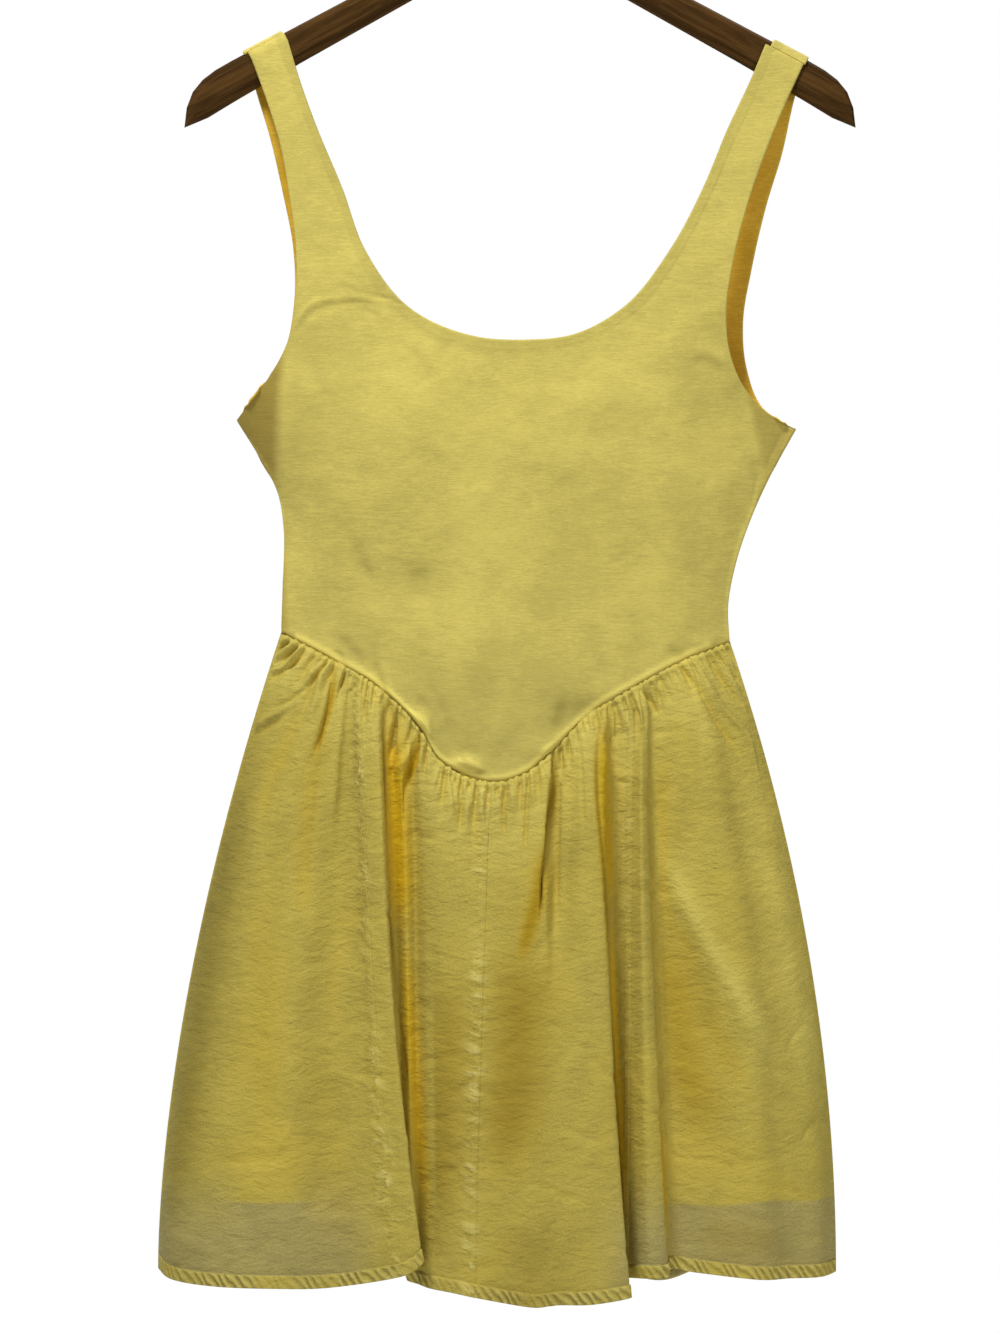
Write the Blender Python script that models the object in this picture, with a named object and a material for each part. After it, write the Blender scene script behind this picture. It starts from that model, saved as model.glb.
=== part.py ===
"""Sleeveless babydoll dress with a basque waist, hanging on a flat wooden hanger.

Metres, +Z up. X runs to the right as the front is seen, and Y runs away from the viewer, so the front
of the dress is at negative Y. The origin is the top of the inside of the hook, where a rail carries it.
Each sewn piece is a closed cloth wall of its own, worked out from the outlines and tables below.
"""

import math
import random
from collections import namedtuple

import bmesh
import bpy
import numpy as np

# Cloth
JERSEY_WALL = 0.0020  # two layers of jersey, bagged out
LAWN_WALL = 0.0012
LINING_WALL = 0.0010
SEAM_GAP = 0.0003
HEM_HEIGHT = 0.0060
HEM_RAISE = 0.0005  # the turned hem stands out from the panel
HEM_STEP = 0.0010  # over this much height

# Hanger
HANGER_THICK = 0.012
ARM_EDGE_RADIUS = 0.0055
ARM_SLOPE = 0.53  # fall of the arms for each metre sideways
RIDGE_APEX_Z = -0.077  # where the two top edges would meet
BOSS_TOP_Z = -0.0735
STEM_HOLE_RADIUS = 0.0021
STEM_HOLE_DEPTH = 0.020
STEM_HOLE_SIDES = 12
WIRE_RADIUS = 0.00175
HOOK_INSIDE_RADIUS = 0.020
HOOK_TIP = math.radians(205)  # where the hook's arc starts and ends, from +X
HOOK_END = math.radians(-52)
HOOK_STEPS = 22
HOOK_BEND = ((0.0072, -0.0432), (0.0025, -0.0492), (0.0004, -0.0560), (0.0, -0.0640))
HOOK_BEND_STEPS = 9

# Half of the hanger's outline, (x, z, handle), from the boss down the top edge and back along the bottom
ARM_OUTLINE = (
    (0.0105, BOSS_TOP_Z), (0.0150, -0.0770), (0.0300, -0.0929), (0.1000, -0.1300), (0.1900, -0.1777),
    (0.2010, -0.1840), (0.2095, -0.1905), (0.2160, -0.1985), (0.2200, -0.2090), (0.2215, -0.2220),
    (0.2060, -0.2155), (0.1870, -0.2040), (0.1450, -0.1795), (0.0710, -0.1378), (0.0250, -0.1130),
)
ARM_BOTTOM_MIDDLE = (0.0, -0.1070)

# The strap turns over the arm on this radius, which is the outside of its cloth
LOOP_RADIUS = HANGER_THICK / 2 + SEAM_GAP + JERSEY_WALL
LOOP_CENTRE_Z = RIDGE_APEX_Z - HANGER_THICK / 2 * math.hypot(1, ARM_SLOPE)
SHOULDER_SEAM_LEFT = math.radians(42)  # angle of the seam in front of the arm's top
SHOULDER_SEAM_RIGHT = math.radians(74)
STRAP_HUG = 0.026  # the strap lies on the arm's face this far down
STRAP_RUN = 0.150  # and reaches the depth of the chest this much lower

# Outlines as seen from the front, (x, z)
ARMHOLE_LEFT = (
    (-0.1769, -0.1776), (-0.1665, -0.2060), (-0.1591, -0.2301), (-0.1519, -0.2680),
    (-0.1474, -0.3060), (-0.1478, -0.3357), (-0.1530, -0.3640), (-0.1676, -0.3911), (-0.1874, -0.4156),
)
SIDE_LEFT = (
    (-0.1874, -0.4156), (-0.1716, -0.4413), (-0.1600, -0.4640), (-0.1565, -0.4850),
    (-0.1566, -0.5205), (-0.1577, -0.5548),
)
WAIST_FRONT = (
    (-0.1577, -0.5548), (-0.1240, -0.5725), (-0.0950, -0.5895), (-0.0660, -0.6175), (-0.0530, -0.6385),
    (-0.0350, -0.6490), (-0.0190, -0.6528), (0.0040, -0.6470), (0.0180, -0.6355), (0.0450, -0.6090),
    (0.0750, -0.5905), (0.1070, -0.5735), (0.1386, -0.5608),
)
SIDE_RIGHT = (
    (0.1386, -0.5608), (0.1377, -0.5380), (0.1425, -0.5110), (0.1525, -0.4809),
    (0.1690, -0.4450), (0.1820, -0.4215),
)
ARMHOLE_RIGHT = (
    (0.1820, -0.4215), (0.1620, -0.4098), (0.1465, -0.3920), (0.1376, -0.3685), (0.1358, -0.3450),
    (0.1399, -0.3133), (0.1492, -0.2760), (0.1637, -0.2341), (0.1775, -0.2011), (0.1861, -0.1824),
)
NECK_FRONT = (
    (-0.1530, -0.1649), (-0.1439, -0.1945), (-0.1333, -0.2235), (-0.1168, -0.2631), (-0.1023, -0.3027),
    (-0.0719, -0.3423), (-0.0317, -0.3601), (0.0040, -0.3628), (0.0360, -0.3590), (0.0667, -0.3423),
    (0.0990, -0.3027), (0.1201, -0.2631), (0.1366, -0.2235), (0.1538, -0.1865), (0.1610, -0.1691),
)
ARMHOLE_LEFT_BACK = (
    (-0.1795, -0.1789), (-0.1740, -0.1990), (-0.1665, -0.2235), (-0.1570, -0.2640),
    (-0.1500, -0.3020), (-0.1495, -0.3357), (-0.1545, -0.3640), (-0.1685, -0.3915), (-0.1874, -0.4156),
)
ARMHOLE_RIGHT_BACK = (
    (0.1820, -0.4215), (0.1600, -0.4060), (0.1500, -0.3800), (0.1478, -0.3500), (0.1535, -0.3145),
    (0.1630, -0.2730), (0.1735, -0.2380), (0.1810, -0.2040), (0.1870, -0.1829),
)
NECK_BACK = (
    (-0.1535, -0.1652), (-0.1440, -0.1945), (-0.1340, -0.2235), (-0.1190, -0.2631), (-0.1045, -0.3060),
    (-0.0740, -0.3520), (-0.0330, -0.3720), (0.0040, -0.3750), (0.0370, -0.3710), (0.0690, -0.3520),
    (0.1010, -0.3060), (0.1225, -0.2631), (0.1395, -0.2235), (0.1570, -0.1865), (0.1640, -0.1707),
)
WAIST_BACK = (
    (-0.1577, -0.5548), (-0.1050, -0.5640), (-0.0100, -0.5760), (0.0850, -0.5690), (0.1386, -0.5608),
)

# Where the ribs from the underarm and waist corners land on the neckline, as shares of its length
NECK_SHARES = (0.0, 0.30, 0.39, 0.52, 0.59, 1.0)
RIB_SPANS = (12, 8, 22, 8, 12)  # armhole, side seam, waist, side seam, armhole
RIB_SPANS_BACK = (12, 8, 16, 8, 12)
FRONT_PARTS = (20, 50)  # spans from the left shoulder at which the front's solid is parted, clear of the neck
STEPS_ACROSS = 7
LOOP_STEP = math.radians(22)

# Depth of the body at each height: where its sides are, how far front and back stand from the side
# seams, and how squarely each side turns. Above the underarm the sides are where they would meet.
Section = namedtuple("Section", "z left right front back round_left round_right")
SECTIONS = (
    Section(-0.160, -0.340, 0.340, 0.022, 0.019, 2.2, 2.2),
    Section(-0.300, -0.300, 0.300, 0.024, 0.020, 2.2, 2.2),
    Section(-0.363, -0.250, 0.245, 0.026, 0.021, 3.0, 2.2),
    Section(-0.418, -0.1885, 0.1830, 0.028, 0.022, 5.0, 2.2),
    Section(-0.461, -0.1615, 0.1620, 0.028, 0.022, 5.0, 2.4),
    Section(-0.500, -0.1573, 0.1462, 0.026, 0.021, 3.2, 2.6),
    Section(-0.556, -0.1580, 0.1388, 0.025, 0.020, 2.8, 2.8),
    Section(-0.600, -0.1680, 0.1460, 0.027, 0.021, 2.8, 2.8),
    Section(-0.656, -0.1800, 0.1560, 0.030, 0.023, 2.8, 2.8),
)

# Guide lines of the skirt, from side seam to side seam: where each leaves the waist, where it ends at
# the hem, how its path bows (above 0 it swings out early, below 0 late) and how far it swells on the way.
Fold = namedtuple("Fold", "name waist_x hem_x hem_y hem_z bow swell")
FRONT_FOLDS = (
    Fold("side seam left", -0.1577, -0.2389, 0.000, -0.9739, 0.7, 0.000),
    Fold("left turn", -0.1500, -0.2284, -0.020, -0.9805, 0.7, 0.003),
    Fold("left front", -0.1399, -0.2000, -0.037, -0.9838, 0.6, 0.006),
    Fold("left ridge", -0.1240, -0.1604, -0.047, -0.9845, 0.5, 0.009),
    Fold("left hollow", -0.1110, -0.1241, -0.041, -0.9842, 0.2, 0.001),
    Fold("seam left", -0.1030, -0.0766, -0.050, -0.9760, -1.0, 0.008),
    Fold("overlap left", -0.0917, -0.0634, -0.051, -0.9667, -1.0, 0.011),
    Fold("under left", -0.0872, -0.0713, -0.037, -0.9720, -1.0, 0.002),
    Fold("hollow left", -0.0825, -0.0746, -0.029, -0.9792, -0.5, 0.000),
    Fold("inner ridge", -0.0762, -0.0700, -0.031, -0.9818, -0.3, 0.004),
    Fold("inner hollow", -0.0697, -0.0655, -0.030, -0.9832, 0.0, 0.000),
    Fold("centre edge", -0.0625, -0.0585, -0.037, -0.9851, 0.0, 0.006),
    Fold("centre left", -0.0450, -0.0440, -0.048, -0.9871, 0.0, 0.008),
    Fold("seam centre", -0.0190, -0.0290, -0.051, -0.9901, 0.3, 0.006),
    Fold("centre ridge", 0.0020, 0.0060, -0.057, -0.9957, 0.0, 0.009),
    Fold("centre brim", 0.0145, 0.0190, -0.056, -0.9951, 0.0, 0.010),
    Fold("centre crease", 0.0230, 0.0260, -0.055, -0.9945, 0.0, -0.001),
    Fold("centre right", 0.0376, 0.0475, -0.057, -0.9940, 0.0, 0.010),
    Fold("overlap right", 0.0528, 0.0719, -0.054, -0.9898, -1.0, 0.011),
    Fold("under right", 0.0572, 0.0630, -0.043, -0.9878, -1.0, 0.001),
    Fold("hollow right", 0.0612, 0.0590, -0.033, -0.9851, -0.6, 0.000),
    Fold("strip edge", 0.0660, 0.0640, -0.027, -0.9800, -0.5, 0.003),
    Fold("seam right", 0.0740, 0.0710, -0.032, -0.9785, 0.0, 0.006),
    Fold("strip ridge", 0.0780, 0.0838, -0.046, -0.9779, -0.5, 0.009),
    Fold("strip brim", 0.0815, 0.0964, -0.044, -0.9772, -0.5, 0.006),
    Fold("under strip", 0.0850, 0.0990, -0.033, -0.9726, -0.5, 0.001),
    Fold("right flat", 0.0964, 0.1168, -0.032, -0.9752, 0.0, 0.004),
    Fold("right ridge", 0.1135, 0.1564, -0.039, -0.9792, 0.5, 0.009),
    Fold("right hollow", 0.1240, 0.1762, -0.030, -0.9790, 0.6, 0.004),
    Fold("right turn", 0.1325, 0.1970, -0.019, -0.9790, 0.8, 0.003),
    Fold("side seam right", 0.1386, 0.2086, 0.000, -0.9766, 1.0, 0.000),
)
BACK_FOLDS = (
    Fold("side seam left", -0.1577, -0.2389, 0.000, -0.9739, 0.7, 0.000),
    Fold("left turn", -0.1480, -0.2260, 0.018, -0.9780, 0.7, 0.003),
    Fold("left ridge", -0.1290, -0.1900, 0.044, -0.9790, 0.6, 0.008),
    Fold("left hollow", -0.1090, -0.1540, 0.028, -0.9765, 0.4, 0.001),
    Fold("second ridge", -0.0820, -0.1130, 0.047, -0.9790, 0.3, 0.009),
    Fold("second hollow", -0.0580, -0.0760, 0.030, -0.9760, 0.1, 0.001),
    Fold("third ridge", -0.0300, -0.0380, 0.050, -0.9790, 0.0, 0.010),
    Fold("seam back", -0.0060, -0.0050, 0.030, -0.9760, 0.0, 0.001),
    Fold("fourth ridge", 0.0200, 0.0310, 0.050, -0.9790, 0.0, 0.010),
    Fold("fourth hollow", 0.0430, 0.0640, 0.029, -0.9790, 0.1, 0.001),
    Fold("long ridge", 0.0680, 0.0950, 0.044, -0.9862, 0.2, 0.009),
    Fold("fifth hollow", 0.0900, 0.1270, 0.027, -0.9740, 0.4, 0.001),
    Fold("right ridge", 0.1110, 0.1630, 0.040, -0.9745, 0.6, 0.007),
    Fold("right turn", 0.1300, 0.1960, 0.017, -0.9750, 0.8, 0.003),
    Fold("side seam right", 0.1386, 0.2086, 0.000, -0.9766, 1.0, 0.000),
)
SKIRT_INSET = 0.0004  # the gathered edge lies just inside the bodice's face
SKIRT_DROP = 0.0004  # and this far below its edge

# Gathers, one for every two columns of the skirt
GATHER_COLUMN = 0.0040
HEM_COLUMN = 0.0090  # and no wider than this where the folds open at the hem
GATHER_DEPTH = 0.0017
GATHER_SHALLOWEST = 0.65  # share of that depth
GATHER_STEEPEST = 0.42  # depth as a share of its columns' spacing
GATHER_AT_SEAM = 0.25  # share of its depth that a gather has at the seam
GATHER_RISE = 0.012
GATHER_SHORTEST = 0.030
GATHER_LONGEST = 0.085
GATHER_FADE = 1.5
FAN_SHIFT = 0.35  # how far the gathers set out square to the seam
FAN_FADE = 0.022
GATHER_SEED = 11
ROWS_BY_WAIST = (0.0, 0.005, 0.012, 0.022, 0.038, 0.060)
ROWS_TO_HEM = (0.22, 0.45, 0.70)  # shares of the rest, above the hem
DEPTH_BOW = 1.4  # the skirt comes forward early and then hangs

# Lining, which shows through the skirt up to its own hem
LINING_INSET = 0.0025
LINING_HEM_Z = -0.9285
LINING_TOP_LEFT, LINING_TOP_RIGHT = -0.1485, 0.1300
LINING_HEM_LEFT, LINING_HEM_RIGHT = -0.2140, 0.1880
LINING_HEM_DEPTH = 0.021
LINING_HEM_ROUND = 2.4
LINING_COLUMNS = 30
LINING_CROWDING = 0.08  # brings its columns closer together towards the sides
LINING_ROWS = (0.0, 0.12, 0.4, 0.7, 1.0)

SHARP_ANGLE = math.radians(50)
WELD = 1e-6
BUTTER_YELLOW = (0.62, 0.50, 0.13)
LAWN_YELLOW = (0.60, 0.47, 0.11)
LINING_YELLOW = (0.64, 0.49, 0.10)
WALNUT_BROWN = (0.075, 0.036, 0.017)
STEEL_GREY = (0.60, 0.60, 0.60)


def hermite(keys, values, at):
    """Smooth curve through values at keys, read at the places in at."""
    keys = np.asarray(keys, float)
    values = np.asarray(values, float)
    at = np.clip(np.asarray(at, float), keys[0], keys[-1])
    slopes = np.empty_like(values)
    steps = np.diff(keys).reshape((-1,) + (1,) * (values.ndim - 1))
    rises = np.diff(values, axis=0) / steps
    slopes[0], slopes[-1] = rises[0], rises[-1]
    slopes[1:-1] = (rises[:-1] * steps[1:] + rises[1:] * steps[:-1]) / (steps[:-1] + steps[1:])
    i = np.clip(np.searchsorted(keys, at, side="right") - 1, 0, len(keys) - 2)
    width = keys[i + 1] - keys[i]
    t = (at - keys[i]) / width
    extra = (1,) * (values.ndim - 1)
    t, width = t.reshape(t.shape + extra), width.reshape(width.shape + extra)
    return (
        (2 * t**3 - 3 * t**2 + 1) * values[i]
        + (t**3 - 2 * t**2 + t) * width * slopes[i]
        + (3 * t**2 - 2 * t**3) * values[i + 1]
        + (t**3 - t**2) * width * slopes[i + 1]
    )


def along(points, shares):
    """Points of the smooth curve through points, at shares of its length."""
    points = np.asarray(points, float)
    chords = np.concatenate(([0], np.cumsum(np.linalg.norm(np.diff(points, axis=0), axis=1))))
    fine = hermite(chords, points, np.linspace(0, chords[-1], 400))
    length = np.concatenate(([0], np.cumsum(np.linalg.norm(np.diff(fine, axis=0), axis=1))))
    at = np.asarray(shares) * length[-1]
    return np.stack([np.interp(at, length, fine[:, k]) for k in range(fine.shape[1])], axis=-1)


def column(rows, name):
    return [getattr(row, name) for row in rows]


def body_depth(x, z, side):
    """How far the cloth stands from the plane of the side seams at (x, z), on the front or back."""
    x, z = np.asarray(x, float), np.asarray(z, float)
    order = SECTIONS[::-1]
    keys = column(order, "z")
    left, right = hermite(keys, column(order, "left"), z), hermite(keys, column(order, "right"), z)
    turn_left = hermite(keys, column(order, "round_left"), z)
    turn_right = hermite(keys, column(order, "round_right"), z)
    out = np.where(x < 0, x / left, x / right)
    turn = np.where(x < 0, turn_left, turn_right)
    return hermite(keys, column(order, side), z) * (1 - np.clip(out, 0, 1) ** turn)


def ease(share):
    share = np.clip(share, 0, 1)
    return share * share * (3 - 2 * share)


def loop_centre_z(x):
    """Height of the line that the straps turn over the arms about."""
    return LOOP_CENTRE_Z - ARM_SLOPE * np.abs(x)


def bodice_depth(x, z, side):
    """Depth of the bodice: flat on the hanger's arm, then out to the depth of the chest."""
    below = loop_centre_z(x) - z
    reach = ease((below - STRAP_HUG) / STRAP_RUN)
    return LOOP_RADIUS * (1 - reach) + body_depth(x, z, side) * reach


def normals_of(grid, outward_y):
    """Unit normals of a grid of points, turned so that its middle faces outward_y."""
    down, across = np.gradient(grid, axis=0), np.gradient(grid, axis=1)
    normals = np.cross(down, across)
    normals /= np.linalg.norm(normals, axis=2, keepdims=True)
    middle = normals[normals.shape[0] // 2, normals.shape[1] // 2]
    return normals if middle[1] * outward_y > 0 else -normals


def material(name, colour, roughness, metallic=0.0):
    made = bpy.data.materials.new(name)
    made.use_nodes = True
    shader = made.node_tree.nodes["Principled BSDF"]
    shader.inputs["Base Color"].default_value = (*colour, 1)
    shader.inputs["Roughness"].default_value = roughness
    shader.inputs["Metallic"].default_value = metallic
    return made


def finish(mesh, name, finish_material, collection):
    """Links the mesh as a named object with its material."""
    mesh.materials.append(finish_material)
    mesh.shade_smooth()
    mesh.set_sharp_from_angle(angle=SHARP_ANGLE)
    made = bpy.data.objects.new(name, mesh)
    collection.objects.link(made)
    return made


def wall(name, outer, inner, finish_material, collection):
    """Closed cloth wall between two grids of points of the same shape."""
    rows, columns = outer.shape[:2]
    shell = bmesh.new()
    faces = [[[shell.verts.new(p) for p in row] for row in grid] for grid in (outer, inner)]
    for i in range(rows - 1):
        for j in range(columns - 1):
            for grid, corners in zip(faces, ((0, 1, 3, 2), (0, 2, 3, 1))):
                square = (grid[i][j], grid[i][j + 1], grid[i + 1][j], grid[i + 1][j + 1])
                shell.faces.new([square[k] for k in corners])
    rim = [(0, j) for j in range(columns)]
    rim += [(i, columns - 1) for i in range(1, rows)]
    rim += [(rows - 1, j) for j in range(columns - 2, -1, -1)]
    rim += [(i, 0) for i in range(rows - 2, 0, -1)]
    for (i, j), (k, m) in zip(rim, rim[1:] + rim[:1]):
        shell.faces.new((faces[0][k][m], faces[0][i][j], faces[1][i][j], faces[1][k][m]))
    bmesh.ops.recalc_face_normals(shell, faces=shell.faces)
    mesh = bpy.data.meshes.new(name)
    shell.to_mesh(mesh)
    shell.free()
    return finish(mesh, name, finish_material, collection)


def keep_to_side(points, outward_y):
    """Ends a wall at the plane of the side seams, half a seam gap short of it."""
    limit = SEAM_GAP / 2
    if outward_y < 0:
        points[..., 1] = np.minimum(points[..., 1], -limit)
    else:
        points[..., 1] = np.maximum(points[..., 1], limit)
    return points


def loop_ribs(outer_xz, inner_xz, angles, radius):
    """Ribs of a strap where it turns over the arm. An angle of 90 degrees is the arm's front face."""
    side = -1 if outer_xz[0] < 0 else 1
    ridge = np.array([side * ARM_SLOPE, 1.0]) / math.hypot(1, ARM_SLOPE)
    across = np.linspace(0, 1, STEPS_ACROSS + 1)[:, None]
    centre = outer_xz * (1 - across) + inner_xz * across
    ribs = []
    for angle in angles:
        xz = centre + radius * math.cos(angle) * ridge
        y = np.full(len(xz), -radius * math.sin(angle))
        ribs.append(np.stack([xz[:, 0], y, xz[:, 1]], axis=1))
    return ribs


def bodice_grids(edges, neck, spans, side, seam_angles):
    """Outer and inner ribs of a bodice panel, from one shoulder seam to the other below the neckline, and
    how many of them turn over the left arm."""
    outward = -1 if side == "front" else 1
    across = np.linspace(0, 1, STEPS_ACROSS + 1)[:, None]
    ribs = []
    for k, (edge, count) in enumerate(zip(edges, spans)):
        steps = np.linspace(0, 1, count + 1)[(1 if k else 0):]
        outer = along(edge, steps)
        inner = along(neck, NECK_SHARES[k] + (NECK_SHARES[k + 1] - NECK_SHARES[k]) * steps)
        for a, b in zip(outer, inner):
            xz = a * (1 - across) + b * across
            y = outward * bodice_depth(xz[:, 0], xz[:, 1], side)
            ribs.append(np.stack([xz[:, 0], y, xz[:, 1]], axis=1))
    ribs = np.array(ribs)
    inner_ribs = ribs - normals_of(ribs, outward) * JERSEY_WALL
    body = ribs[:, :, 2] < loop_centre_z(ribs[:, :, 0]) - STRAP_HUG
    for points in (ribs, inner_ribs):
        points[body] = keep_to_side(points[body], outward)
    quarter = math.pi / 2 * -outward
    grids = []
    for points, radius in ((ribs, LOOP_RADIUS), (inner_ribs, LOOP_RADIUS - JERSEY_WALL)):
        loops = []
        for angle, edge, neck_point in zip(seam_angles, (edges[0][0], edges[-1][-1]), (neck[0], neck[-1])):
            count = max(1, round(abs(angle - quarter) / LOOP_STEP))
            angles = np.linspace(angle, quarter, count + 1)[:-1]
            loops.append(loop_ribs(np.array(edge), np.array(neck_point), angles, radius))
        grids.append(np.array([*loops[0], *points, *loops[1][::-1]]))
    return *grids, len(loops[0])


def ribs_between(grid, first, last):
    """Ribs first to last of a panel, drawn in by half a seam gap where the panel goes on beyond them."""
    cut = grid[first : last + 1].copy()
    for end, rib, beside in ((0, first, first + 1), (-1, last, last - 1)):
        if rib in (0, grid.shape[0] - 1):
            continue
        run = np.gradient(grid[rib], axis=0)
        run /= np.linalg.norm(run, axis=1, keepdims=True)
        inward = grid[beside] - grid[rib]
        inward -= (inward * run).sum(axis=1, keepdims=True) * run
        cut[end] += inward / np.linalg.norm(inward, axis=1, keepdims=True) * SEAM_GAP / 2
    return cut


def build_bodice(jersey, collection):
    """Front and back panels, each cut in one with its straps. The front is parted in three."""
    front_edges = (ARMHOLE_LEFT, SIDE_LEFT, WAIST_FRONT, SIDE_RIGHT, ARMHOLE_RIGHT)
    back_edges = (ARMHOLE_LEFT_BACK, SIDE_LEFT, WAIST_BACK, SIDE_RIGHT, ARMHOLE_RIGHT_BACK)
    front_names = ("bodice_front_left", "bodice_front_middle", "bodice_front_right")
    for names, side, edges, neck, spans, seam_shift, parts in (
        (front_names, "front", front_edges, NECK_FRONT, RIB_SPANS, 0.5, FRONT_PARTS),
        (("bodice_back",), "back", back_edges, NECK_BACK, RIB_SPANS_BACK, -0.5, ()),
    ):
        gap_angle = SEAM_GAP / (LOOP_RADIUS - JERSEY_WALL)
        seams = [angle + seam_shift * gap_angle for angle in (SHOULDER_SEAM_LEFT, SHOULDER_SEAM_RIGHT)]
        outer, inner, left_loop = bodice_grids(edges, neck, spans, side, seams)
        stops = [0, *(left_loop + rib for rib in parts), outer.shape[0] - 1]
        for name, first, last in zip(names, stops, stops[1:]):
            panel = [ribs_between(grid, first, last) for grid in (outer, inner)]
            wall(name, *panel, jersey, collection)


def gather_lengths(count):
    draw = random.Random(GATHER_SEED)
    depths = [draw.uniform(GATHER_SHALLOWEST, 1.0) for _ in range(count)]
    lengths = [draw.uniform(GATHER_SHORTEST, GATHER_LONGEST) for _ in range(count)]
    return np.array(depths), np.array(lengths)


def waist_columns(folds, waist):
    """Columns of the skirt as (guide index, x, z on the seam), two for each gather."""
    steps, marks = [], []
    for k in range(len(folds) - 1):
        ends = np.array([folds[k].waist_x, folds[k + 1].waist_x])
        width = math.hypot(ends[1] - ends[0], np.diff(waist_at(waist, ends)[0])[0])
        hem_width = math.hypot(folds[k + 1].hem_x - folds[k].hem_x, folds[k + 1].hem_y - folds[k].hem_y)
        count = max(1, round(width / GATHER_COLUMN), round(hem_width / HEM_COLUMN))
        steps += [k + j / count for j in range(count)]
        if folds[k].name.startswith("seam "):
            marks.append(len(steps) - count)
    steps.append(len(folds) - 1)
    return np.array(steps, float), marks


def waist_at(waist, x):
    """Height and slope of the waist seam at x, on the straight stretches between the bodice's ribs."""
    spans = RIB_SPANS if waist is WAIST_FRONT else RIB_SPANS_BACK
    line = along(waist, np.linspace(0, 1, spans[2] + 1))
    slopes = np.gradient(line[:, 1], line[:, 0])
    return np.interp(x, line[:, 0], line[:, 1]), np.interp(x, line[:, 0], slopes)


def bowed(share, bow):
    """Share of the way sideways at a share of the way down."""
    early = 1 - (1 - share) ** (1 + np.maximum(bow, 0))
    late = share ** (1 - np.minimum(bow, 0))
    return np.where(bow >= 0, early, late)


def skirt_grid(folds, waist, side):
    """Points of the skirt without its gathers, the gathers' own depths, and where panels meet."""
    outward = -1 if side == "front" else 1
    steps, marks = waist_columns(folds, waist)
    guide = {name: hermite(range(len(folds)), column(folds, name), steps) for name in Fold._fields[1:]}
    top_x = guide["waist_x"]
    top_z, slope = waist_at(waist, top_x)
    edge_shift = SKIRT_DROP * np.sqrt(1 + slope**2)
    top_y = outward * (body_depth(top_x, top_z, side) - SKIRT_INSET)
    length = top_z - edge_shift - guide["hem_z"]
    depths, lengths = gather_lengths(len(steps))
    spacing = np.gradient(np.concatenate(([0], np.cumsum(np.hypot(np.diff(top_x), np.diff(top_z))))))
    depths *= np.minimum(GATHER_DEPTH, GATHER_STEEPEST * spacing)
    depths[[0, -1]] = 0
    reach = ROWS_BY_WAIST[-1]
    rows, gathers = [], []
    plain = length - reach - HEM_HEIGHT - HEM_STEP
    downs = [np.full(len(steps), d) for d in ROWS_BY_WAIST]
    downs += [reach + share * plain for share in ROWS_TO_HEM]
    downs += [length - HEM_HEIGHT - HEM_STEP, length - HEM_HEIGHT, length]
    for down in downs:
        share = down / length
        swell = 4 * np.sqrt(share) * (1 - np.sqrt(share)) * guide["swell"]
        fan = FAN_SHIFT * slope / np.sqrt(1 + slope**2) * down * np.exp(-down / FAN_FADE)
        x = top_x + (guide["hem_x"] - top_x) * bowed(share, guide["bow"]) + fan
        y = top_y + (guide["hem_y"] - top_y) * (1 - (1 - share) ** DEPTH_BOW) + outward * swell
        z = top_z - edge_shift - down
        rows.append(np.stack([x, y, z], axis=1))
        rise = np.minimum(1, GATHER_AT_SEAM + (1 - GATHER_AT_SEAM) * down / GATHER_RISE)
        fade = np.clip(1 - down / lengths, 0, 1) ** GATHER_FADE
        wave = np.where(np.arange(len(steps)) % 2, 1.0, -1.0)
        gathers.append(wave * depths * rise * fade)
    return np.array(rows), np.array(gathers), marks


def build_skirt_side(folds, waist, side, names, lawn, collection):
    """The panels of one side of the skirt, parted at the seams."""
    outward = -1 if side == "front" else 1
    grid, gathers, marks = skirt_grid(folds, waist, side)
    normals = normals_of(grid, outward)
    outer = grid + normals * gathers[:, :, None]
    inner = outer - normals * LAWN_WALL
    outer[-2:] += normals[-2:] * HEM_RAISE
    for points in (outer, inner):
        keep_to_side(points, outward)
    across = np.gradient(grid, axis=1)
    across /= np.linalg.norm(across, axis=2, keepdims=True)
    stops = [0, *marks, grid.shape[1] - 1]
    for name, first, last in zip(names, stops, stops[1:]):
        panel = []
        for points in (outer, inner):
            cut = points[:, first : last + 1].copy()
            if first:
                cut[:, 0] += across[:, first] * SEAM_GAP / 2
            if last < grid.shape[1] - 1:
                cut[:, -1] -= across[:, last] * SEAM_GAP / 2
            panel.append(cut)
        wall(name, panel[0], panel[1], lawn, collection)


def build_lining(waist, side, name, cloth, collection):
    """A plain half of the lining, from inside the waist seam to its own hem."""
    outward = -1 if side == "front" else 1
    share = np.linspace(0, 1, LINING_COLUMNS + 1)
    share = share - LINING_CROWDING * np.sin(2 * math.pi * share)
    top_x = LINING_TOP_LEFT + (LINING_TOP_RIGHT - LINING_TOP_LEFT) * share
    top_z = waist_at(waist, top_x)[0] - SEAM_GAP
    top_depth = body_depth(top_x, top_z, side) - LINING_INSET
    hem_x = LINING_HEM_LEFT + (LINING_HEM_RIGHT - LINING_HEM_LEFT) * share
    hem_depth = LINING_HEM_DEPTH * (1 - np.abs(2 * share - 1) ** LINING_HEM_ROUND)
    rows = []
    for down in LINING_ROWS:
        x = top_x + (hem_x - top_x) * down
        y = outward * (top_depth + (hem_depth - top_depth) * down)
        z = top_z + (LINING_HEM_Z - top_z) * down
        rows.append(np.stack([x, y, z], axis=1))
    grid = np.array(rows)
    inner = grid - normals_of(grid, outward) * LINING_WALL
    wall(name, keep_to_side(grid, outward), keep_to_side(inner, outward), cloth, collection)


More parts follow.
